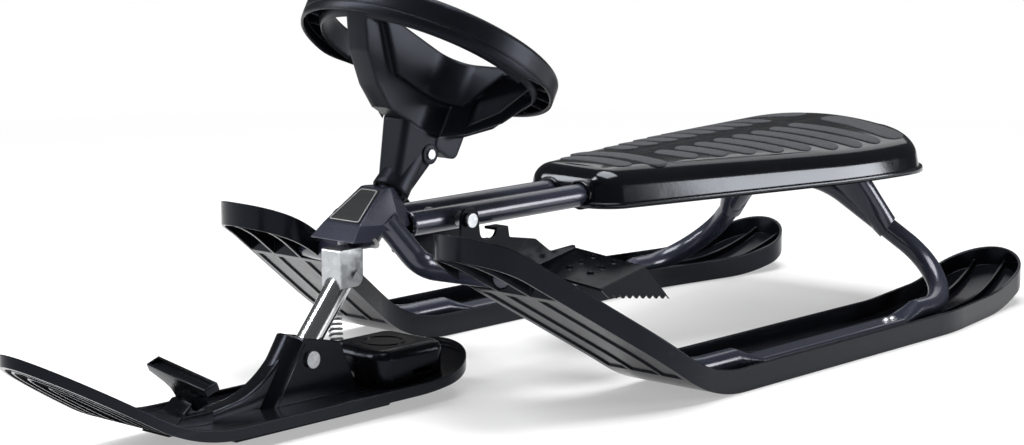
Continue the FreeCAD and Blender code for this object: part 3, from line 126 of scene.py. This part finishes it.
ski = Finish("ski_black", gloss=0.17, tint=(0.70, 0.78, 1.0))
ski_dark, ski_pale = (0.0026, 0.0028, 0.0038), (0.0066, 0.0070, 0.0094)
clouds = ski.place.grain(scale=14)
scuffs = ski.place.grain(scale=9, stretch=(28, 1.5, 28), detail=6).step(low=0.56, high=0.74)
skin = ski.place.grain(scale=700, detail=2)
ski.feed(
    base_color=(clouds * 0.7 + scuffs * 0.3).between(ski_dark, ski_pale),
    roughness=0.13 + clouds * 0.10 + scuffs * 0.12,
)
ski.relief(skin, depth=0.00006, edge=0.0016)
ski.coat("left_runner_ski", "right_runner_ski", "front_ski", "winder_housing", "tow_handle")


# Frame tubes, seat rails, brackets and steering head: steel tube and folded sheet, welded
# and powder coated in a dark navy grey with a fine orange peel.
navy = Finish("navy_steel", metallic=0.3)
navy_dark, navy_pale = (0.024, 0.027, 0.043), (0.052, 0.057, 0.088)
patches = navy.place.grain(scale=22)
peel = navy.place.grain(scale=420, detail=1)
flake = navy.place.grain(scale=5200, detail=0).step(low=0.6, high=0.72)
navy.feed(
    base_color=(patches * 0.5 + flake * 0.5).between(navy_dark, navy_pale),
    roughness=0.20 + patches * 0.10,
    coat_weight=0.2 + patches * 0.2,
)
navy.relief(peel, depth=0.00010, edge=0.0012)
navy.coat(
    "left_frame_tube", "right_frame_tube", "left_seat_rail", "right_seat_rail",
    "left_seat_bracket", "right_seat_bracket", "head_bracket", "head_tube", "steering_column",
)


# Weld beads: a rippled seam of weld round each seat rail where it leaves the steering head,
# powder coated with the frame.
def made_piece(shape, name, finish, body, merge=1e-6, sharp=38):
    """Turn a finished shape into a piece of the sled that moves with one of its bodies."""
    bmesh.ops.remove_doubles(shape, verts=shape.verts, dist=merge)
    bmesh.ops.recalc_face_normals(shape, faces=shape.faces)
    mesh = bpy.data.meshes.new(name)
    shape.to_mesh(mesh)
    shape.free()
    mesh.shade_smooth()
    mesh.set_sharp_from_angle(angle=math.radians(sharp))
    mesh.materials.append(finish.material)
    piece = bpy.data.objects.new(name, mesh)
    bpy.context.scene.collection.objects.link(piece)
    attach(piece, body)
    return piece


def spin(shape, steps, angle=math.tau):
    """Turn what a shape has so far round the z axis. A full turn closes on itself."""
    bmesh.ops.spin(
        shape, geom=shape.verts[:] + shape.edges[:], cent=(0, 0, 0), axis=(0, 0, 1),
        angle=angle, steps=steps, use_merge=angle == math.tau,
    )


rail_x, rail_z = 0.020, 0.156
bead_y, bead_r, bead_ring_r = -0.1815, 0.0021, 0.0112
ripples, ripple_share = 18, 0.22
upright = Matrix.Rotation(math.radians(90), 3, "X")
for side, end in ((1, "left"), (-1, "right")):
    bead = bmesh.new()
    bmesh.ops.create_circle(bead, segments=8, radius=bead_r)
    bmesh.ops.translate(bead, verts=bead.verts, vec=(bead_ring_r, 0, 0))
    bmesh.ops.rotate(bead, verts=bead.verts, matrix=upright)
    spin(bead, steps=72)
    for v in bead.verts:
        v.co.z *= 1 + ripple_share * math.sin(ripples * math.atan2(v.co.y, v.co.x))
    bmesh.ops.rotate(bead, verts=bead.verts, matrix=upright)
    bmesh.ops.translate(bead, verts=bead.verts, vec=(side * rail_x, bead_y, rail_z))
    made_piece(bead, "rail_weld_" + end, navy, "frame")


# Brake pedals: pressed steel sheet in gloss black powder coat, hung on the rails by a bolt
# each and a little rubbed by boots.
pedal = Finish("black_steel", gloss=0.12, tint=(0.72, 0.80, 1.0))
pedal_dark, pedal_pale = (0.0030, 0.0032, 0.0044), (0.0075, 0.0079, 0.0100)
rubbed = pedal.place.grain(scale=70, detail=6).step(low=0.60, high=0.80)
pedal.feed(
    base_color=rubbed.between(pedal_dark, pedal_pale),
    roughness=0.14 + rubbed * 0.14,
)
pedal.relief(pedal.place.grain(scale=380, detail=1), depth=0.00008, edge=0.0012)
pedal.coat("left_brake_pedal", "right_brake_pedal")


# Clevis: folded steel sheet on the column's foot, zinc plated, which leaves a mottled pattern
# of pale crystals.
zinc = Finish("zinc_steel", metallic=1.0)
zinc_dark, zinc_pale = (0.30, 0.32, 0.34), (0.66, 0.68, 0.70)
crystal = zinc.place.node("TexVoronoi", {}, {"Vector": zinc.place, "Scale": 210.0}, 1)
tone = zinc.place.node("SeparateColor", {}, {0: crystal})
haze = zinc.place.grain(scale=70, detail=5)
zinc.feed(
    base_color=(tone * 0.45 + haze * 0.55).between(zinc_dark, zinc_pale),
    roughness=0.24 + tone * 0.12 + haze * 0.12,
)
zinc.relief(haze, depth=0.00008, edge=0.0018)
zinc.coat("clevis")


# Bolts, pins and screws: turned steel with domed or flat heads, plated thinly and dulled
# by wet snow.
bolt = Finish("bolt_steel", metallic=1.0)
bolt_dark, bolt_pale = (0.17, 0.18, 0.20), (0.62, 0.64, 0.66)
turning = bolt.place.grain(scale=900)
dulled = bolt.place.grain(scale=230, detail=5)
bolt.feed(
    base_color=dulled.between(bolt_dark, bolt_pale),
    roughness=0.26 + turning * 0.24,
)
bolt.relief(turning, depth=0.0002, edge=0.0008)
bolt.coat(
    "clevis_bolt", "ski_pin", "wheel_bolt", "runner_screws", "brake_bolts", "seat_screws",
    "winder_axle",
)


# Steering leg: a drawn steel tube between the clevis and the front ski's pin, chromed, with
# faint draw lines along it.
axis_lean = math.radians(40.5)
chrome = Finish("leg_chrome", metallic=1.0)
chrome_dark, chrome_pale = (0.66, 0.68, 0.70), (0.84, 0.85, 0.86)
lines = chrome.place.grain(scale=40, stretch=(30, 30, 1), turn=(axis_lean, 0, 0), detail=4)
chrome.feed(
    base_color=lines.between(chrome_dark, chrome_pale),
    roughness=0.08 + lines * 0.12,
)
chrome.coat("steering_leg")


# Ski spring: close-coiled spring wire hooked between the clevis bolt and the front ski, oiled
# and dull.
spring = Finish("spring_steel", metallic=1.0)
spring_dark, spring_pale = (0.16, 0.165, 0.17), (0.40, 0.41, 0.42)
oil = spring.place.grain(scale=180, detail=4)
spring.feed(
    base_color=oil.between(spring_dark, spring_pale),
    roughness=0.26 + oil * 0.2,
)
spring.coat("ski_spring")


# Steering wheel and its stem: black mouldings with a fine leather-like grain that dulls
# the gloss, bolted to the column.
wheel = Finish("wheel_black", gloss=0.20, tint=(0.70, 0.78, 1.0))
wheel_dark, wheel_pale = (0.0028, 0.0030, 0.0042), (0.0070, 0.0075, 0.0105)
pores = wheel.place.node("TexVoronoi", {}, {"Vector": wheel.place, "Scale": 900.0}, 0)
sheen = wheel.place.grain(scale=24)
wheel.feed(
    base_color=sheen.between(wheel_dark, wheel_pale),
    roughness=0.28 + sheen * 0.14,
)
wheel.relief(pores, depth=0.00010, edge=0.004)
wheel.coat("steering_wheel", "wheel_stem")


# Front plate of the steering head: thin dark grey sheet, brushed across and glued on
# the hood.
plate = Finish("plate_grey", metallic=0.5)
plate_dark, plate_pale = (0.020, 0.0205, 0.022), (0.045, 0.046, 0.049)
brush = plate.place.grain(scale=60, stretch=(1, 30, 30), detail=4)
plate.feed(
    base_color=brush.between(plate_dark, plate_pale),
    roughness=0.32 + brush * 0.16,
)
plate.coat("front_plate")


# Border of the front plate: a light grey line printed round it, just in from its edge, with
# round corners.
def sheet(points):
    """A flat shape inside a closed row of points."""
    shape = bmesh.new()
    shape.faces.new([shape.verts.new(point) for point in points])
    return shape


def bevel(shape, geom, size, steps, kind="EDGES"):
    """Round off edges, or the corners of a flat shape when kind is VERTICES."""
    bmesh.ops.bevel(
        shape, geom=geom, offset=size, affect=kind, segments=steps, profile=0.5, material=-1,
    )


paint = Finish("border_grey", gloss=0.4)
paint_dark, paint_pale = (0.36, 0.37, 0.38), (0.50, 0.51, 0.52)
print_grain = paint.place.grain(scale=300, detail=4)
paint.feed(
    base_color=print_grain.between(paint_dark, paint_pale),
    roughness=0.40 + print_grain * 0.15,
)
foot_half, foot_at, head_half, head_at = 0.0183, 0.0037, 0.0103, 0.0435
line_width, line_thick, line_lift, line_corner = 0.0007, 0.0002, 0.0010, 0.0022
plate_y, plate_z, plate_cos, plate_sin = -0.242, 0.162, 0.805, 0.593
border = sheet([
    (-foot_half, foot_at, 0), (foot_half, foot_at, 0), (head_half, head_at, 0), (-head_half, head_at, 0),
])
bevel(border, border.verts[:], line_corner, steps=5, kind="VERTICES")
line = bmesh.ops.inset_region(
    border, faces=border.faces[:], thickness=line_width, use_even_offset=True, use_boundary=True,
)["faces"]
bmesh.ops.delete(border, geom=[f for f in border.faces if f not in line], context="FACES")
bmesh.ops.solidify(border, geom=border.faces[:], thickness=line_thick)
plate_plane = Matrix((
    (1, 0, 0, 0), (0, plate_cos, -plate_sin, plate_y), (0, plate_sin, plate_cos, plate_z), (0, 0, 0, 1),
))
lifted = plate_plane @ Matrix.Translation((0, 0, line_lift))
bmesh.ops.transform(border, verts=border.verts, matrix=lifted)
made_piece(border, "plate_border", paint, "frame")


# Skirt of the wheel's rim: the outer wall of the moulding runs down past its ribs in front,
# and fades out beside the pad.
def turned(points, steps, angle=math.tau, closed=True):
    """A turned shape: points at a radius and a height, joined in a row and spun."""
    shape = bmesh.new()
    row = [shape.verts.new((radius, 0, height)) for radius, height in points]
    for pair in zip(row, row[1:] + row[:1] if closed else row[1:]):
        shape.edges.new(pair)
    spin(shape, steps, angle)
    return shape


wheel_place, wheel_lean = (0, -0.128, 0.306), math.radians(-30)
skirt_z, skirt_turn, skirt_past, skirt_fade = -0.0095, math.radians(88), 0.40, 0.55
skirt = turned([
    (0.1160, skirt_z), (0.1189, skirt_z), (0.1187, -0.0155), (0.1180, -0.0175), (0.1168, -0.0180),
    (0.1160, -0.0170),
], steps=96)
for v in skirt.verts:
    ahead = math.cos(math.atan2(v.co.y, v.co.x) + skirt_turn)
    depth = min(1, max(0, (ahead + skirt_past) / skirt_fade))
    v.co.z = skirt_z + (v.co.z - skirt_z) * depth * depth * (3 - 2 * depth)
wheel_plane = Matrix.Translation(wheel_place) @ Matrix.Rotation(wheel_lean, 4, "X")
bmesh.ops.transform(skirt, verts=skirt.verts, matrix=wheel_plane)
made_piece(skirt, "rim_skirt", wheel, "steering")


# Lower sleeve of the wheel's stem: a round moulding over the column that flares a little at
# the foot, just clear of the steering head.
pin_place = (0, -0.2945, 0.052)
foot = turned([
    (0.0140, 0.1735), (0.0168, 0.1735), (0.0172, 0.1745), (0.0170, 0.1775), (0.0163, 0.1840),
    (0.0159, 0.1920), (0.0157, 0.2080), (0.0155, 0.2200), (0.0150, 0.2280), (0.0140, 0.2320),
], steps=40, closed=False)
steering_axis = Matrix.Translation(pin_place) @ Matrix.Rotation(-axis_lean, 4, "X")
bmesh.ops.transform(foot, verts=foot.verts, matrix=steering_axis)
made_piece(foot, "stem_foot", wheel, "steering")


# Front of the leg's socket on the front ski: a half-round wall that leans with the leg, open
# on top, and a fairing that sweeps forward from it down to the deck.
def thicken(shape, way):
    """Extrude every face of a flat shape along a way."""
    grown = bmesh.ops.extrude_face_region(shape, geom=shape.faces[:])["geom"]
    moved = [g for g in grown if isinstance(g, bmesh.types.BMVert)]
    bmesh.ops.translate(shape, verts=moved, vec=way)


tower_in, tower_out, tower_top = 0.0126, 0.0156, 0.0640
tower_place, tower_lean = (0, -0.336, 0.014), math.radians(-33.2)
tower = turned([
    (tower_in, -0.004), (tower_out, -0.004), (tower_out, 0.0630), (0.0150, tower_top),
    (0.0132, tower_top), (tower_in, 0.0630),
], steps=20, angle=-math.pi)
leaning = Matrix.Translation(tower_place) @ Matrix.Rotation(tower_lean, 4, "X")
bmesh.ops.transform(tower, verts=tower.verts, matrix=leaning)
bmesh.ops.holes_fill(tower, edges=tower.edges[:], sides=0)
made_piece(tower, "socket_front", ski, "front_ski")
fairing_half, bend_y, bend_cut, fairing_edge = 0.009, -0.338, 0.038, 0.0022
fairing_side = [(-0.314, 0.0715), (bend_y, 0.033), (-0.424, 0.0205), (-0.428, 0.0145), (-0.322, 0.0145)]
fairing = sheet([(-fairing_half, y, z) for y, z in fairing_side])
bend = [v for v in fairing.verts if abs(v.co.y - bend_y) < 1e-6]
bevel(fairing, bend, bend_cut, steps=10, kind="VERTICES")
thicken(fairing, (fairing_half * 2, 0, 0))
rims = [e for e in fairing.edges if abs(e.verts[0].co.x - e.verts[1].co.x) < 1e-6]
bevel(fairing, rims, fairing_edge, steps=3)
made_piece(fairing, "socket_fairing", ski, "front_ski")


# Tow handle: a black T moulding with a hollow grip and arms that deepen into its stem. It is
# parked, a little twisted, in a leaning stand on the front ski's deck.
arm, arm_end, grip_depth, grip_wall, grip_hollow = 0.0458, 0.0072, 0.0134, 0.0012, 0.0040
crook_z, crook_cut, handle_edge = -0.0180, 0.0060, 0.0010
handle_place, handle_lean, handle_twist = (0, -0.4272, 0.0603), math.radians(24.6), math.radians(-9.9)
right_half = [(arm, 0), (arm, -arm_end), (0.0250, -0.0128), (0.0145, crook_z), (0.0145, -0.0310)]
handle_side = right_half + [(-x, z) for x, z in reversed(right_half)]
handle = sheet([(x, -grip_depth / 2, z) for x, z in handle_side])
crooks = [v for v in handle.verts if abs(v.co.z - crook_z) < 1e-6]
bevel(handle, crooks, crook_cut, steps=5, kind="VERTICES")
thicken(handle, (0, grip_depth, 0))
bmesh.ops.recalc_face_normals(handle, faces=handle.faces)
folds = [e for e in handle.edges if len(e.link_faces) == 2 and e.calc_face_angle() > math.radians(30)]
bevel(handle, folds, handle_edge, steps=3)
palm = [max((f for f in handle.faces if f.normal.z > 0.99), key=lambda f: f.calc_area())]
for inward in (grip_wall, grip_wall / 4):
    bmesh.ops.inset_region(handle, faces=palm, thickness=inward, use_even_offset=True)
bmesh.ops.translate(handle, verts=palm[0].verts[:], vec=(0, 0, -grip_hollow))
parked = Matrix.Translation(handle_place) @ Matrix.Rotation(handle_lean, 4, "X")
parked = parked @ Matrix.Rotation(handle_twist, 4, "Z")
bmesh.ops.transform(handle, verts=handle.verts, matrix=parked)
handle_moulding = made_piece(handle, "handle_moulding", ski, "tow_handle")
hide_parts("tow_handle")
stand_low, stand_high, stand_edge = -0.0175, 0.0105, 0.0012
stand_side = [(-0.439, 0.0230), (-0.4235, 0.0365), (-0.4110, 0.0365), (-0.4050, 0.0200), (-0.439, 0.0200)]
stand = sheet([(stand_low, y, z) for y, z in stand_side])
thicken(stand, (stand_high - stand_low, 0, 0))
bevel(stand, stand.edges[:], stand_edge, steps=3)
made_piece(stand, "handle_stand", ski, "front_ski")


# Winder lid: a gloss black disc pressed into the top of the winder box, smeared a little
# by wet gloves.
lid = Finish("lid_black", gloss=0.25, tint=(0.8, 0.86, 1.0))
lid_dark, lid_pale = (0.0035, 0.0035, 0.0040), (0.010, 0.010, 0.0115)
smear = lid.place.grain(scale=45, detail=4)
lid.feed(
    base_color=smear.between(lid_dark, lid_pale),
    roughness=0.14 + smear * 0.14,
)
lid.coat("winder_lid")


# Bushes, reel and gland: plain grey nylon mouldings, slightly mottled, pressed or snapped
# into place.
nylon = Finish("plain_plastic")
nylon_dark, nylon_pale = (0.42, 0.42, 0.41), (0.55, 0.55, 0.53)
mottle = nylon.place.grain(scale=120, detail=4)
nylon.feed(
    base_color=mottle.between(nylon_dark, nylon_pale),
    roughness=0.42 + mottle * 0.14,
)
nylon.relief(mottle, depth=0.00005, edge=0.0006)
nylon.coat("lower_bush", "upper_bush", "cord_reel", "cord_gland")


# Seat: one gloss black moulding with a rolled lower lip, a crowned top and a sleeve round
# each rail, screwed to the rails from below.
seat = Finish("seat_gloss", gloss=0.42, tint=(0.86, 0.91, 1.0))
seat_dark, seat_pale = (0.0024, 0.0026, 0.0036), (0.0054, 0.0058, 0.0078)
pour = seat.place.grain(scale=9)
rub = seat.place.grain(scale=34, detail=6).step(low=0.58, high=0.78)
seat.feed(
    base_color=pour.between(seat_dark, seat_pale),
    roughness=0.10 + pour * 0.06 + rub * 0.08,
)
seat.relief(seat.place.grain(scale=260, detail=1), depth=0.00004, edge=0.001)

# Its outline: a narrow nose, straight flanks and a broad round tail, drawn at the lip.
lip_z, lip_high, wall_z, top_z, seat_wall = 0.145, 0.004, 0.150, 0.181, 0.0032
nose, flank, tail = (0.056, 0.051), (0.138, 0.389), (0.138, 0.521)
right_side = [nose, flank, tail]
seat_outline = right_side + [(-x, y) for x, y in reversed(right_side)]
shell = sheet([(x, y, lip_z) for x, y in seat_outline])
for (x, y), cut_back in ((nose, 0.026), (flank, 0.060), (tail, 0.066)):
    corner = [v for v in shell.verts if math.hypot(abs(v.co.x) - x, v.co.y - y) < 1e-5]
    bevel(shell, corner, cut_back, steps=12, kind="VERTICES")

# Its side: the lip, a wall with a draft, then a soft fold to the top.
lip = bmesh.ops.extrude_face_region(shell, geom=shell.faces[:])["geom"]
crest = [g for g in lip if isinstance(g, bmesh.types.BMFace)]
bmesh.ops.translate(shell, verts=crest[0].verts[:], vec=(0, 0, lip_high))
sole = [f for f in shell.faces if all(v.co.z < lip_z + lip_high / 4 for v in f.verts)]
bmesh.ops.delete(shell, geom=sole, context="FACES_ONLY")
fold_r, fold_steps, draft = 0.018, 8, 10
wall_rise = top_z - wall_z - fold_r * (1 - math.sin(math.radians(draft)))
side_steps = [(0.0006, 0.001), (0.0034, 0.0), (wall_rise * math.tan(math.radians(draft)), wall_rise)]
for k in range(fold_steps):
    low, high = (math.radians(draft + (90 - draft) * (k + j) / fold_steps) for j in (0, 1))
    inward = fold_r * (math.cos(low) - math.cos(high))
    side_steps.append((inward, fold_r * (math.sin(high) - math.sin(low))))
for inward, up in side_steps:
    bmesh.ops.inset_region(shell, faces=crest, thickness=inward, depth=0, use_even_offset=True)
    bmesh.ops.translate(shell, verts=crest[0].verts[:], vec=(0, 0, up))


# Its top: cut into strips and crowned, with a shallow channel down the middle.
def seat_crown(x, y, low=0.182, rise=0.013, front=0.063, run=0.454, radius=0.42):
    """Height of the seat's top: rounded across, rising to the tail."""
    return low + rise * (y - front) / run - (radius - math.sqrt(radius ** 2 - x ** 2))


strip, channel_strip, slice_first, slice_step = 0.0110, 0.003, 0.100, 0.028
channel_half, channel_depth, channel_front, channel_rear = 0.012, 0.0012, 0.15, 0.49
cuts = [((strip * k, 0, 0), (1, 0, 0)) for k in range(-10, 11)]
cuts += [((channel_strip * k, 0, 0), (1, 0, 0)) for k in range(-4, 5)]
cuts += [((0, slice_first + slice_step * k, 0), (0, 1, 0)) for k in range(15)]
for place, normal in cuts:
    top = [f for f in shell.faces if all(v.co.z > top_z - 1e-5 for v in f.verts)]
    near = {g for f in top for g in (*f.verts, *f.edges)}
    bmesh.ops.bisect_plane(shell, geom=top + list(near), plane_co=place, plane_no=normal)
for v in shell.verts:
    crown = seat_crown(v.co.x, v.co.y)
    share = (v.co.z - wall_z) / (top_z - wall_z)
    if share > 0:
        v.co.z = wall_z + share * (crown - wall_z)
    if share > 0.999 and abs(v.co.x) < channel_half and channel_front < v.co.y < channel_rear:
        v.co.z -= channel_depth / 2 * (1 + math.cos(math.pi * v.co.x / channel_half))
seat_shell = made_piece(shell, "seat_moulding", seat, "frame")
wall = seat_shell.modifiers.new("wall", "SOLIDIFY")
wall.thickness = seat_wall
wall.offset = -1
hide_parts("seat_shell")

# Its sleeves: one round each rail at the nose, with two rings at the mouth.
sleeve_in, sleeve_r, ring_r, groove_r = 0.0112, 0.0136, 0.0142, 0.0134
sleeve_front, sleeve_rear = 0.054, 0.110
sleeve_row = [
    (sleeve_in, sleeve_front), (sleeve_r, sleeve_front), (ring_r, 0.055), (ring_r, 0.058),
    (groove_r, 0.059), (groove_r, 0.061), (ring_r, 0.062), (ring_r, 0.065), (sleeve_r, 0.066),
    (sleeve_r, sleeve_rear), (sleeve_in, sleeve_rear),
]
lying = Matrix.Rotation(math.radians(-90), 4, "X")
for side, end in ((-1, "right"), (1, "left")):
    sleeve = turned(sleeve_row, steps=32)
    along_rail = Matrix.Translation((side * rail_x, 0, rail_z)) @ lying
    bmesh.ops.transform(sleeve, verts=sleeve.verts, matrix=along_rail)
    made_piece(sleeve, "seat_sleeve_" + end, seat, "frame")


# Grip pads of the seat: dark grey rubbery patches with a coarse sand grain, let into the top
# so that half of their thickness stands out.
grip = Finish("grip_pad", gloss=0.3)
grip_dark, grip_pale = (0.020, 0.0205, 0.024), (0.085, 0.087, 0.096)
sand = grip.place.grain(scale=1100, detail=2)
worn = grip.place.grain(scale=30)
speck = sand.step(low=0.40, high=0.66)
grip.feed(
    base_color=(speck * 0.7 + worn * 0.3).between(grip_dark, grip_pale),
    roughness=0.70 + worn * 0.2,
)
grip.relief(sand, depth=0.0006, edge=0.0008)

# Their plan: two strips across the nose, slanted ones on each half and a broad one behind,
# all with round ends.
pad_width, broad_width, broad_y, pad_first, pad_step = 0.0225, 0.034, 0.471, 0.185, 0.0335
pad_slope, pad_rows, pad_gap, pad_reach, pad_margin = 0.16, 8, 0.014, 0.110, 0.021
nose_half, nose_y, flank_slope = 0.044, 0.063, 0.278
pads_plan = [((-half, y), (half, y), pad_width) for y, half in ((0.103, 0.030), (0.137, 0.046))]
for k in range(pad_rows + 1):
    broad = k == pad_rows
    y = broad_y if broad else pad_first + pad_step * k
    width = broad_width if broad else pad_width
    inner = pad_gap + width / 2
    outer = min(pad_reach, nose_half + flank_slope * (y - nose_y) - pad_margin) - width / 2
    slant = 0 if broad else pad_slope * (outer - inner)
    pads_plan += [((side * inner, y - slant), (side * outer, y + slant), width) for side in (-1, 1)]

# Their form: flat strips cut across, thickened, rounded at the brim and laid on the crown.
pad_round, pad_thick, pad_sunk, pad_brim, pad_cut = 0.42, 0.0024, 0.0012, 0.0006, 0.0105
pads = bmesh.new()
for start, end, width in pads_plan:
    along = Vector(end) - Vector(start)
    middle = (Vector(start) + Vector(end)) / 2
    far_x, far_y = along.length / 2 + width / 2, width / 2
    plan = [(-far_x, -far_y), (far_x, -far_y), (far_x, far_y), (-far_x, far_y)]
    pad_corners = [pads.verts.new((x, y, 0)) for x, y in plan]
    pads.faces.new(pad_corners)
    bevel(pads, pad_corners, width * pad_round, steps=5, kind="VERTICES")
    pads.faces.ensure_lookup_table()
    put = Matrix.Translation((*middle, 0)) @ Matrix.Rotation(math.atan2(along.y, along.x), 4, "Z")
    bmesh.ops.transform(pads, verts=pads.faces[-1].verts[:], matrix=put)
for k in range(-11, 12):
    whole = pads.verts[:] + pads.edges[:] + pads.faces[:]
    bmesh.ops.bisect_plane(pads, geom=whole, plane_co=(pad_cut * k, 0, 0), plane_no=(1, 0, 0))
thicken(pads, (0, 0, pad_thick))
raised = [e for e in pads.edges if len(e.link_faces) == 2 and min(v.co.z for v in e.verts) > pad_thick / 2]
brims = [e for e in raised if abs(e.link_faces[0].normal.z - e.link_faces[1].normal.z) > 0.5]
bevel(pads, brims, pad_brim, steps=2)
for v in pads.verts:
    v.co.z += seat_crown(v.co.x, v.co.y) - pad_sunk
seat_pads = made_piece(pads, "seat_pads", grip, "frame")
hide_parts("seat_grip_pads")


# Studio floor: white paper, lit near the sled, where it keeps the shadow, and fading into
# plain white away from it.
floor_half, floor_drop, near_glow = 16, 0.0005, 0.4
paper = Finish("studio_paper", gloss=0.0)
paper_dark, paper_pale = (0.93, 0.93, 0.93), (0.95, 0.95, 0.95)
paper.feed(base_color=paper.place.grain(scale=1.5).between(paper_dark, paper_pale))
paper.shader.inputs["Roughness"].default_value = 0.9
away = paper.place.node("VectorMath", {"operation": "LENGTH"}, {0: paper.place}, 1)
far = near_glow + (1 - near_glow) * (away * 0.25).step(low=0.16, high=0.55)
rays = paper.place.node("LightPath").socket.node.outputs
camera_ray, glossy_ray, through_ray = (
    Wire(paper.tree, rays[ray]) for ray in ("Is Camera Ray", "Is Glossy Ray", "Is Transmission Ray")
)
lit = far * (camera_ray + glossy_ray + through_ray)
glow = paper.place.node("Emission", {}, {"Color": (1, 1, 1, 1), "Strength": 1.0})
paper_surface = Wire(paper.tree, paper.shader.outputs[0])
mixed = paper.place.node("MixShader", {}, {0: lit, 1: paper_surface, 2: glow})
paper.tree.links.new(mixed.socket, paper.tree.nodes["Material Output"].inputs[0])
sweep = bmesh.new()
bmesh.ops.create_grid(sweep, x_segments=1, y_segments=1, size=floor_half)
bmesh.ops.translate(sweep, verts=sweep.verts, vec=(0, 0, -floor_drop))
sweep_mesh = bpy.data.meshes.new("studio_floor")
sweep.to_mesh(sweep_mesh)
sweep.free()
sweep_mesh.materials.append(paper.material)
studio_floor = bpy.data.objects.new("studio_floor", sweep_mesh)
bpy.context.scene.collection.objects.link(studio_floor)


# Studio lights: five soft boxes round the sled, none of them in the camera's view, and a dim
# white room.
def soft_box(name, place, aim, width, height, power):
    """A rectangular studio light at place, turned to aim, with its power in watts."""
    lamp = bpy.data.lights.new(name, "AREA")
    lamp.shape = "RECTANGLE"
    lamp.size = width
    lamp.size_y = height
    lamp.energy = power
    box = bpy.data.objects.new(name, lamp)
    box.location = place
    box.rotation_euler = (Vector(aim) - Vector(place)).to_track_quat("-Z", "Y").to_euler()
    box.visible_camera = False
    bpy.context.scene.collection.objects.link(box)


soft_box("over_box", place=(0.0, 0.2, 2.6), aim=(0, 0, 0), width=1.7, height=1.7, power=84)
soft_box("right_box", place=(2.28, 1.80, 0.50), aim=(0.1, 0.4, 0.20), width=1.3, height=0.9, power=48)
soft_box("leg_box", place=(-0.66, -1.10, 1.45), aim=(0, -0.27, 0.1), width=0.42, height=0.90, power=18)
soft_box("left_box", place=(-1.8, -1.6, 1.3), aim=(0, -0.2, 0.15), width=0.6, height=1.0, power=24)
soft_box("rear_box", place=(-1.2, 2.4, 1.9), aim=(0, 0.2, 0.1), width=2.2, height=1.4, power=12)
world = bpy.data.worlds.new("studio_room")
world.use_nodes = True
room = world.node_tree.nodes["Background"]
room.inputs["Color"].default_value = (1, 1, 1, 1)
room.inputs["Strength"].default_value = 0.08
bpy.context.scene.world = world


# Camera: low in front of the sled's left side, with a long lens, as the photograph was taken.
# Angles are in degrees, down from level and round from straight ahead.
camera_down, camera_round = 9.24, 41.92
lens = bpy.data.cameras.new("photo_camera")
lens.sensor_width = 36
lens.lens = 85.5
camera = bpy.data.objects.new("photo_camera", lens)
camera.location = (1.510, -1.701, 0.504)
camera.rotation_euler = (math.radians(90 - camera_down), 0, math.radians(camera_round))
bpy.context.scene.collection.objects.link(camera)
bpy.context.scene.camera = camera
bpy.context.scene.view_settings.view_transform = "Standard"
